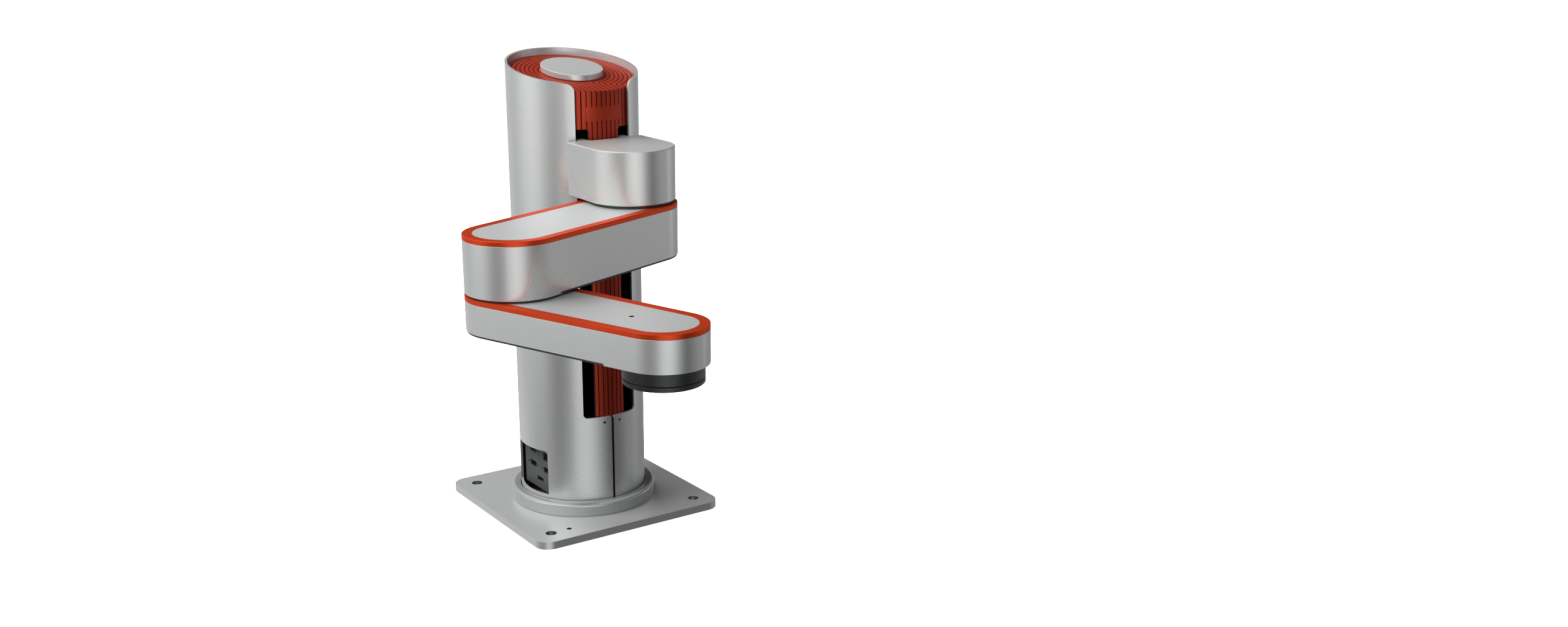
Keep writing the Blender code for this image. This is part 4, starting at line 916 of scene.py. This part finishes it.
# Carriage
def build_block():
    """Shoulder block: round in front, hollow behind to follow the column, with two tabs in its slots."""
    radius, cavity, roof, corner = 39.6 * MM, 34.0 * MM, 6 * MM, 1.6 * MM
    tab_near, tab_far = 16.2 * MM, 26.5 * MM
    gap = 2.8 * MM
    low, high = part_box("shoulder_block")
    notch_x = COLUMN_RADIUS + gap
    rear_x = math.sqrt(SHELL_RADIUS ** 2 - tab_far ** 2) + gap
    rear = rounded([(notch_x, tab_near, 0), (low.x, tab_near, 0), (low.x, tab_far, 0), (rear_x, tab_far, 0),
                    (rear_x, radius, corner), (SHOULDER.x, radius, 0)])[:-1]
    front = arc((SHOULDER.x, 0), radius, math.pi / 2, -math.pi / 2, 96)
    outline = rear + front + [(x, -y) for x, y in reversed(rear)]
    block = slab("shoulder_housing", [outline], low.z, high.z, "silver")
    smooth(block, bpy.context.scene.robot_sizes.block_edge, 4)
    refinish(block, "pale", lambda face: face.normal.z > 0.99)
    carve(block, drum("cavity", cavity, low.z - OVERCUT, high.z - roof, centre=(SHOULDER.x, 0)))
    hand_over(smooth(block), "carriage", ["shoulder_block"])


# Links
def build_trim(prefix, place, tip, hole=None):
    """Orange trim ring and the pale plate let into it."""
    outer = link_outline(LINK_LENGTH, LINK_RADIUS, tip)
    inner = link_outline(LINK_LENGTH, LINK_RADIUS - TRIM_WIDTH, tip - TRIM_WIDTH)
    trim = slab(prefix + "_trim_ring", [outer, inner], -2 * TRIM_HEIGHT, 0, "trim")
    smooth(trim, bpy.context.scene.robot_sizes.trim_edge, 4)
    wide = link_outline(LINK_LENGTH, 2 * LINK_RADIUS, 2 * LINK_RADIUS)
    carve(trim, slab("below", [wide], -4 * TRIM_HEIGHT, -TRIM_HEIGHT))
    hand_over(smooth(trim), prefix, [prefix + "_trim"], place)
    inset = TRIM_WIDTH + HAIRLINE
    inner = link_outline(LINK_LENGTH, LINK_RADIUS - inset, tip - inset)
    plate = slab(prefix + "_lid_plate", [inner], -TRIM_HEIGHT, -PLATE_DIP, "pale")
    if hole:
        # The hole's walls take the near-black finish: painted shadow in the hole.
        carve(plate, drum("hole", PLUG_HOLE, -OVERCUT, OVERCUT, "void", (hole, 0), steps=FINE))
    hand_over(smooth(plate, SHEET_EDGE, 2), prefix, [prefix + "_top_plate"], place)


def build_seal(joint, body):
    """Thin black disc in the gap above a link, and the boss on it that turns inside the piece above."""
    low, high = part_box(joint + "_hub")
    radius = (high.x - low.x) / 2
    boss, thick, edge = 9.7 * MM, 1.6 * MM, 0.3 * MM
    top = low.z + thick
    profile = [(0, high.z), (boss, high.z), (boss, top), (radius - edge, top), (radius, top - edge),
               (radius, low.z), (0, low.z)]
    seal = turned(joint + "_seal", profile, "flange", joint_place(joint).xy)
    hand_over(smooth(seal), body, [joint + "_hub"])


def build_casting(prefix, place, tip, height, cover_end, bore, boss=None):
    """Silver housing with a bore at its tip, and its dark bottom cover, which leaves a round boss bare."""
    bottom = -height
    wall, base, roof = 3.5 * MM, 4 * MM, 3 * MM
    inside = bottom + base
    casting = slab(prefix + "_casting", [link_outline(LINK_LENGTH, LINK_RADIUS, tip)], bottom,
                   -TRIM_HEIGHT - HAIRLINE, "silver")
    smooth(casting, 2 * SMALL_EDGE)
    void = slab("void", [link_outline(LINK_LENGTH, LINK_RADIUS - wall, tip - wall)], inside,
                -TRIM_HEIGHT - SEAT - roof, "casting")
    mouth_radius, mouth_margin = 28 * MM, 55 * MM
    mouth = slab("mouth", [link_outline(cover_end - mouth_margin, mouth_radius, mouth_radius)],
                 bottom - OVERCUT, inside + 1 * MM)
    carve(casting, void, mouth)
    carve(casting, drum("bore", bore, bottom - OVERCUT, inside + 1 * MM, centre=(LINK_LENGTH, 0)))
    start, side = -LINK_RADIUS - OVERCUT, 2 * LINK_RADIUS
    box = rounded([(start, -side, 0), (cover_end, -side, 0), (cover_end, side, 0), (start, side, 0)])
    rebate = slab("rebate", [box], bottom - OVERCUT, bottom + COVER + SEAT)
    cover = slab(prefix + "_belly_cover",
                 [link_outline(LINK_LENGTH, LINK_RADIUS - COVER_INSET, tip - COVER_INSET)], bottom,
                 bottom + COVER, "cover")
    shift = cover_end - start - SEAT
    carve(cover, slab("far", [[(x + shift, y) for x, y in box]], bottom - OVERCUT, bottom + 2 * COVER))
    if boss:
        for piece, radius in ((rebate, boss), (cover, boss + SEAT)):
            carve(piece, drum("boss", radius, -1, 1, centre=(LINK_LENGTH, 0)))
    carve(casting, rebate)
    hand_over(smooth(casting), prefix, [prefix + "_housing"], place)
    hand_over(smooth(cover, SMALL_EDGE, 2), prefix, [prefix + "_bottom_cover"], place)


def cover_screws(prefix, place, bottom, across, *along):
    """Button-head screws that hold a bottom cover: one at its root, and pairs along it."""
    places = [(x, y, bottom) for x in along for y in (-across, across)] + [(-34 * MM, 0, bottom)]
    screw = socket_screw(radius=2.2 * MM, height=0.8 * MM, drive=1.0 * MM)
    scatter(prefix + "_cover_screws", screw, places, "dark_steel", prefix, place)


def build_upper_arm():
    """Upper arm: casting, cover, trim, plate and the seal above it."""
    height = UPPER_TOP - UPPER_BOTTOM
    build_casting("upper_arm", UPPER_PLACE, LINK_RADIUS, height, LINK_LENGTH + LINK_RADIUS, bore=33 * MM,
                  boss=42.2 * MM)
    build_trim("upper_arm", UPPER_PLACE, LINK_RADIUS)
    build_seal("shoulder", "upper_arm")
    cover_screws("upper_arm", UPPER_PLACE, -height, 34 * MM, 30 * MM, 70 * MM, 105 * MM)


def build_forearm():
    """Forearm: casting, cover, trim, plate, the seal above it and the collar below its tip."""
    height = FORE_TOP - FORE_BOTTOM
    tip = 36.8 * MM
    build_casting("forearm", FORE_PLACE, tip, height, 131 * MM, bore=14.3 * MM)
    build_trim("forearm", FORE_PLACE, tip, hole=128 * MM)
    build_seal("elbow", "forearm")
    cover_screws("forearm", FORE_PLACE, -height, 33 * MM, 10 * MM, 60 * MM, 110 * MM)
    low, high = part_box("flange_collar")
    radius, bore, edge = (high.x - low.x) / 2, 8.4 * MM, 0.35 * MM
    profile = [(radius - edge, high.z), (radius, high.z - edge), (radius, low.z + edge),
               (radius - edge, low.z), (bore, low.z), (bore, high.z)]
    collar = turned("collar_ring", profile, "flange", (TOOL.x, TOOL.y))
    hand_over(smooth(collar), "forearm", ["flange_collar"])


def build_tool():
    """Turning tool plate on its shaft, with a pilot bore and four bolt holes."""
    low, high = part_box("tool_flange")
    radius, shaft, edge = (high.x - low.x) / 2, 8 * MM, 0.5 * MM
    top = low.z + 4.1 * MM
    pilot, chamfer, floor = 12.5 * MM, 0.4 * MM, low.z + 1.5 * MM
    profile = [(0, high.z), (shaft, high.z), (shaft, top), (radius - edge, top), (radius, top - edge),
               (radius, low.z + edge), (radius - edge, low.z), (pilot + chamfer, low.z),
               (pilot, low.z + chamfer), (pilot, floor), (0, floor)]
    plate = turned("tool_plate", profile, "flange")
    bolt_circle, bolt_hole = 25 * MM, 2.15 * MM
    for quarter in range(4):
        turn = math.pi / 4 + quarter * math.pi / 2
        where = (bolt_circle * math.cos(turn), bolt_circle * math.sin(turn))
        carve(plate, drum("bolt_hole", bolt_hole, low.z - OVERCUT, top + SEAT, centre=where, steps=32))
    place = Matrix.Translation((TOOL.x, TOOL.y, 0)) @ Matrix.Rotation(FORE_TURN, 4, "Z")
    hand_over(smooth(plate), "tool", ["tool_flange"], place)


# Studio
CAMERA_PLACE = Vector((1.3111, -0.7172, 0.5885))
CAMERA_PITCH = math.radians(17.06)
CAMERA_HEADING = math.atan2(0.5631, -0.8264)
SENSOR = 36.0
PHOTO_WIDTH, PHOTO_HEIGHT = 2576, 1030
FOCAL_PIXELS = 2584.18
OPTICAL_AXIS = (1195.3, 611.95)


def build_camera():
    """Camera at the photograph's place, with its lens and framing."""
    data = bpy.data.cameras.new("camera")
    data.sensor_width = SENSOR
    data.sensor_fit = "HORIZONTAL"
    data.lens = FOCAL_PIXELS * SENSOR / PHOTO_WIDTH
    data.shift_x = (PHOTO_WIDTH / 2 - OPTICAL_AXIS[0]) / PHOTO_WIDTH
    data.shift_y = (OPTICAL_AXIS[1] - PHOTO_HEIGHT / 2) / PHOTO_WIDTH
    data.clip_start, data.clip_end = 0.05, 50
    camera = bpy.data.objects.new("camera", data)
    ahead = Vector((math.cos(CAMERA_HEADING) * math.cos(CAMERA_PITCH),
                    math.sin(CAMERA_HEADING) * math.cos(CAMERA_PITCH), -math.sin(CAMERA_PITCH)))
    camera.location = CAMERA_PLACE
    camera.rotation_euler = ahead.to_track_quat("-Z", "Y").to_euler()
    bpy.context.scene.collection.objects.link(camera)
    bpy.context.scene.camera = camera


# Brightness round the studio, by degrees to the right of straight behind the camera
LOW_WALLS = ((-180, 0.37), (-160, 0.51), (-140, 0.69), (-120, 0.73), (-100, 0.39), (-80, 0.03),
             (-60, 0.00), (-40, 0.00), (-20, 0.36), (0, 1.05), (20, 0.92), (40, 0.46), (60, 0.00),
             (80, 0.08), (100, 0.37), (120, 0.37), (140, 0.31), (160, 0.29), (180, 0.37))
EYE_WALLS = ((-180, 0.60), (-165, 0.55), (-150, 0.49), (-135, 0.46), (-120, 0.29), (-105, 0.51),
             (-90, 0.97), (-75, 1.27), (-60, 1.15), (-45, 0.45), (-30, 0.00), (-15, 0.22), (0, 1.38),
             (15, 2.05), (30, 1.65), (45, 0.49), (60, 0.14), (75, 0.55), (90, 0.73), (105, 0.67),
             (120, 1.20), (135, 0.67), (150, 0.51), (165, 0.55), (180, 0.60))
HIGH_WALLS = ((-180, 0.00), (-170, 0.01), (-150, 0.36), (-120, 0.69), (-90, 1.12), (-60, 1.69),
              (-30, 1.85), (0, 1.29), (30, 0.69), (60, 0.36), (90, 0.27), (120, 0.30), (150, 0.29),
              (170, 0.07), (180, 0.00))
BANDS = ((-0.38, -0.14), (-0.14, 0.2))  # where low walls turn into eye-level ones, and those into high
CEILING = 0.7
BRIGHTEST = 2.2
DIFFUSE_SHARE = 0.05              # how much of the walls' light dull surfaces get, beside the lamps
OVERHEAD = (0.5, 0.9)             # where high walls turn into the ceiling
LAMP_SIZE, LAMP_DISTANCE = 1.2, 2.2
LAMP_AIM = Vector((0.1, -0.03, 0.2))
# Name, watts, degrees to the right of straight behind the camera, degrees up
LAMPS = (("key_light", 62, -75, 50), ("rear_light", 30, -140, 45), ("fill_light", 15, -10, 45))
FLOOR_SIZE, FLOOR_DROP, FLOOR_GLOW = 12.0, 0.2 * MM, 0.95


def build_world():
    """White studio seen directly, with soft bright and dim walls for the metal to reflect."""
    world = bpy.context.scene.world = bpy.data.worlds.new("studio")
    world.use_nodes = True
    tree = world.node_tree
    tree.nodes.clear()
    view = add(tree, "ShaderNodeTexCoord").outputs["Generated"]
    parts = add(tree, "ShaderNodeSeparateXYZ", {"Vector": view})
    aim = add(tree, "ShaderNodeMath", {0: parts.outputs["Y"], 1: parts.outputs["X"]}, operation="ARCTAN2")
    behind_camera = CAMERA_HEADING + math.pi
    from_behind = add(tree, "ShaderNodeMath", {0: aim.outputs[0], 1: behind_camera}, operation="SUBTRACT")
    wrapped = add(tree, "ShaderNodeMath", {0: from_behind.outputs[0], 1: math.pi, 2: -math.pi},
                  operation="WRAP")
    heading = add(tree, "ShaderNodeMapRange", {"Value": wrapped.outputs[0], "From Min": -math.pi,
                                               "From Max": math.pi}).outputs["Result"]
    # A Mix node's colours are its inputs 6 and 7 and its output 2
    walls = None
    for levels, band in zip((LOW_WALLS, EYE_WALLS, HIGH_WALLS), (None, *BANDS)):
        ramp = add(tree, "ShaderNodeValToRGB", {"Fac": heading})
        ramp.color_ramp.interpolation = "EASE"
        marks = ramp.color_ramp.elements
        while len(marks) < len(levels):
            marks.new(0.5)
        for mark, (degrees, level) in zip(marks, levels):
            mark.position = (degrees + 180) / 360
            mark.color = (*[level / BRIGHTEST] * 3, 1)
        shown = ramp.outputs["Color"]
        if band:
            rise = add(tree, "ShaderNodeMapRange", {"Value": parts.outputs["Z"], "From Min": band[0],
                                                    "From Max": band[1]})
            shown = add(tree, "ShaderNodeMix", {"Factor": rise.outputs["Result"], 6: walls, 7: shown},
                        data_type="RGBA").outputs[2]
        walls = shown
    over = add(tree, "ShaderNodeMapRange", {"Value": parts.outputs["Z"], "From Min": OVERHEAD[0],
                                            "From Max": OVERHEAD[1]})
    ceiling = (*[CEILING / BRIGHTEST] * 3, 1)
    room = add(tree, "ShaderNodeMix", {"Factor": over.outputs["Result"], 6: walls, 7: ceiling},
               data_type="RGBA").outputs[2]
    path = add(tree, "ShaderNodeLightPath")
    strength = add(tree, "ShaderNodeMapRange", {"Value": path.outputs["Is Diffuse Ray"], "To Min": BRIGHTEST,
                                                "To Max": BRIGHTEST * DIFFUSE_SHARE}).outputs["Result"]
    lit = add(tree, "ShaderNodeBackground", {"Color": room, "Strength": strength})
    white = add(tree, "ShaderNodeBackground", {"Color": (1, 1, 1, 1), "Strength": 1.0})
    both = add(tree, "ShaderNodeMixShader", {0: path.outputs["Is Camera Ray"], 1: lit.outputs[0],
                                             2: white.outputs[0]})
    add(tree, "ShaderNodeOutputWorld", {"Surface": both.outputs[0]})


def build_floor():
    """Large pale floor."""
    bm = bmesh.new()
    bmesh.ops.create_grid(bm, x_segments=1, y_segments=1, size=FLOOR_SIZE)
    made = bpy.data.materials.new("matt_white_floor")
    made.use_nodes = True
    shader = made.node_tree.nodes["Principled BSDF"]
    shader.inputs["Base Color"].default_value = (0.92, 0.92, 0.92, 1)
    shader.inputs["Roughness"].default_value = 0.9
    shader.inputs["Emission Color"].default_value = (1, 1, 1, 1)
    shader.inputs["Emission Strength"].default_value = FLOOR_GLOW
    floor = as_object("studio_floor", bm)
    floor.data.materials.append(made)
    floor.location.z = -FLOOR_DROP
    floor.visible_glossy = False
    floor.visible_diffuse = False


def build_lamps():
    """Large soft lamps, aimed at the robot's middle, that only dull surfaces see."""
    for name, power, heading, rise in LAMPS:
        data = bpy.data.lights.new(name, "AREA")
        data.size = LAMP_SIZE
        data.energy = power
        lamp = bpy.data.objects.new(name, data)
        turn, up = CAMERA_HEADING + math.pi + math.radians(heading), math.radians(rise)
        away = Vector((math.cos(turn) * math.cos(up), math.sin(turn) * math.cos(up), math.sin(up)))
        lamp.location = LAMP_AIM + away * LAMP_DISTANCE
        lamp.rotation_euler = away.to_track_quat("Z", "Y").to_euler()
        lamp.visible_glossy = lamp.visible_camera = False
        bpy.context.scene.collection.objects.link(lamp)


def build_stage():
    """Camera, world, floor and lights."""
    build_camera()
    build_world()
    build_floor()
    build_lamps()
    bpy.context.scene.view_settings.view_transform = "Standard"


# Operators
class BuildStep:
    """What every build step shares."""

    bl_options = {"REGISTER", "UNDO"}

    def execute(self, context):
        """Build this step's pieces."""
        for step in self.steps:
            step()
        return {"FINISHED"}


class ROBOT_OT_finishes(BuildStep, bpy.types.Operator):
    """Make the materials"""

    bl_idname = "robot.finishes"
    bl_label = "Finishes"
    steps = (make_finishes,)


class ROBOT_OT_base(BuildStep, bpy.types.Operator):
    """Build the mounting plate and the ring round the column's foot"""

    bl_idname = "robot.base"
    bl_label = "Base"
    steps = (build_plate, build_ring)


class ROBOT_OT_column(BuildStep, bpy.types.Operator):
    """Build the shell, the grooved column and the cap"""

    bl_idname = "robot.column"
    bl_label = "Column"
    steps = (build_shell, build_column, build_cap)


class ROBOT_OT_sockets(BuildStep, bpy.types.Operator):
    """Build the socket panel and its sockets"""

    bl_idname = "robot.sockets"
    bl_label = "Sockets"
    steps = (build_panel, build_sockets)


class ROBOT_OT_lift(BuildStep, bpy.types.Operator):
    """Build the ball screw and finish the drives inside the housings"""

    bl_idname = "robot.lift"
    bl_label = "Lift drive"
    steps = (build_lift, dress_nodes)


class ROBOT_OT_carriage(BuildStep, bpy.types.Operator):
    """Build the shoulder block"""

    bl_idname = "robot.carriage"
    bl_label = "Carriage"
    steps = (build_block,)


class ROBOT_OT_upper_arm(BuildStep, bpy.types.Operator):
    """Build the upper arm"""

    bl_idname = "robot.upper_arm"
    bl_label = "Upper arm"
    steps = (build_upper_arm,)


class ROBOT_OT_forearm(BuildStep, bpy.types.Operator):
    """Build the forearm"""

    bl_idname = "robot.forearm"
    bl_label = "Forearm"
    steps = (build_forearm,)


class ROBOT_OT_tool(BuildStep, bpy.types.Operator):
    """Build the turning tool plate"""

    bl_idname = "robot.tool"
    bl_label = "Tool plate"
    steps = (build_tool,)


class ROBOT_OT_stage(BuildStep, bpy.types.Operator):
    """Set up the floor, lights and camera"""

    bl_idname = "robot.stage"
    bl_label = "Studio"
    steps = (build_stage,)


OPERATORS = (ROBOT_OT_finishes, ROBOT_OT_base, ROBOT_OT_column, ROBOT_OT_sockets, ROBOT_OT_lift,
             ROBOT_OT_carriage, ROBOT_OT_upper_arm, ROBOT_OT_forearm, ROBOT_OT_tool, ROBOT_OT_stage)


class ROBOT_PT_panel(bpy.types.Panel):
    """Sizes, colours and build steps of the robot"""

    bl_idname = "ROBOT_PT_panel"
    bl_label = "SCARA robot"
    bl_space_type = "VIEW_3D"
    bl_region_type = "UI"
    bl_category = "Robot"

    def draw(self, context):
        """List the settings and the build steps."""
        for group in (context.scene.robot_sizes, context.scene.robot_colours):
            for name in group.__annotations__:
                self.layout.prop(group, name)
        for operator in OPERATORS:
            self.layout.operator(operator.bl_idname)


CLASSES = (RobotSizes, RobotColours, *OPERATORS, ROBOT_PT_panel)


def register():
    """Register the classes and hang the settings on the scene."""
    for kind in CLASSES:
        bpy.utils.register_class(kind)
    bpy.types.Scene.robot_sizes = PointerProperty(type=RobotSizes)
    bpy.types.Scene.robot_colours = PointerProperty(type=RobotColours)


def unregister():
    """Take the settings and the classes away again."""
    del bpy.types.Scene.robot_colours
    del bpy.types.Scene.robot_sizes
    for kind in reversed(CLASSES):
        bpy.utils.unregister_class(kind)


def main():
    """Build everything in order."""
    register()
    bpy.ops.robot.finishes()
    bpy.ops.robot.base()
    bpy.ops.robot.column()
    bpy.ops.robot.sockets()
    bpy.ops.robot.lift()
    bpy.ops.robot.carriage()
    bpy.ops.robot.upper_arm()
    bpy.ops.robot.forearm()
    bpy.ops.robot.tool()
    bpy.ops.robot.stage()


if __name__ == "__main__":
    main()
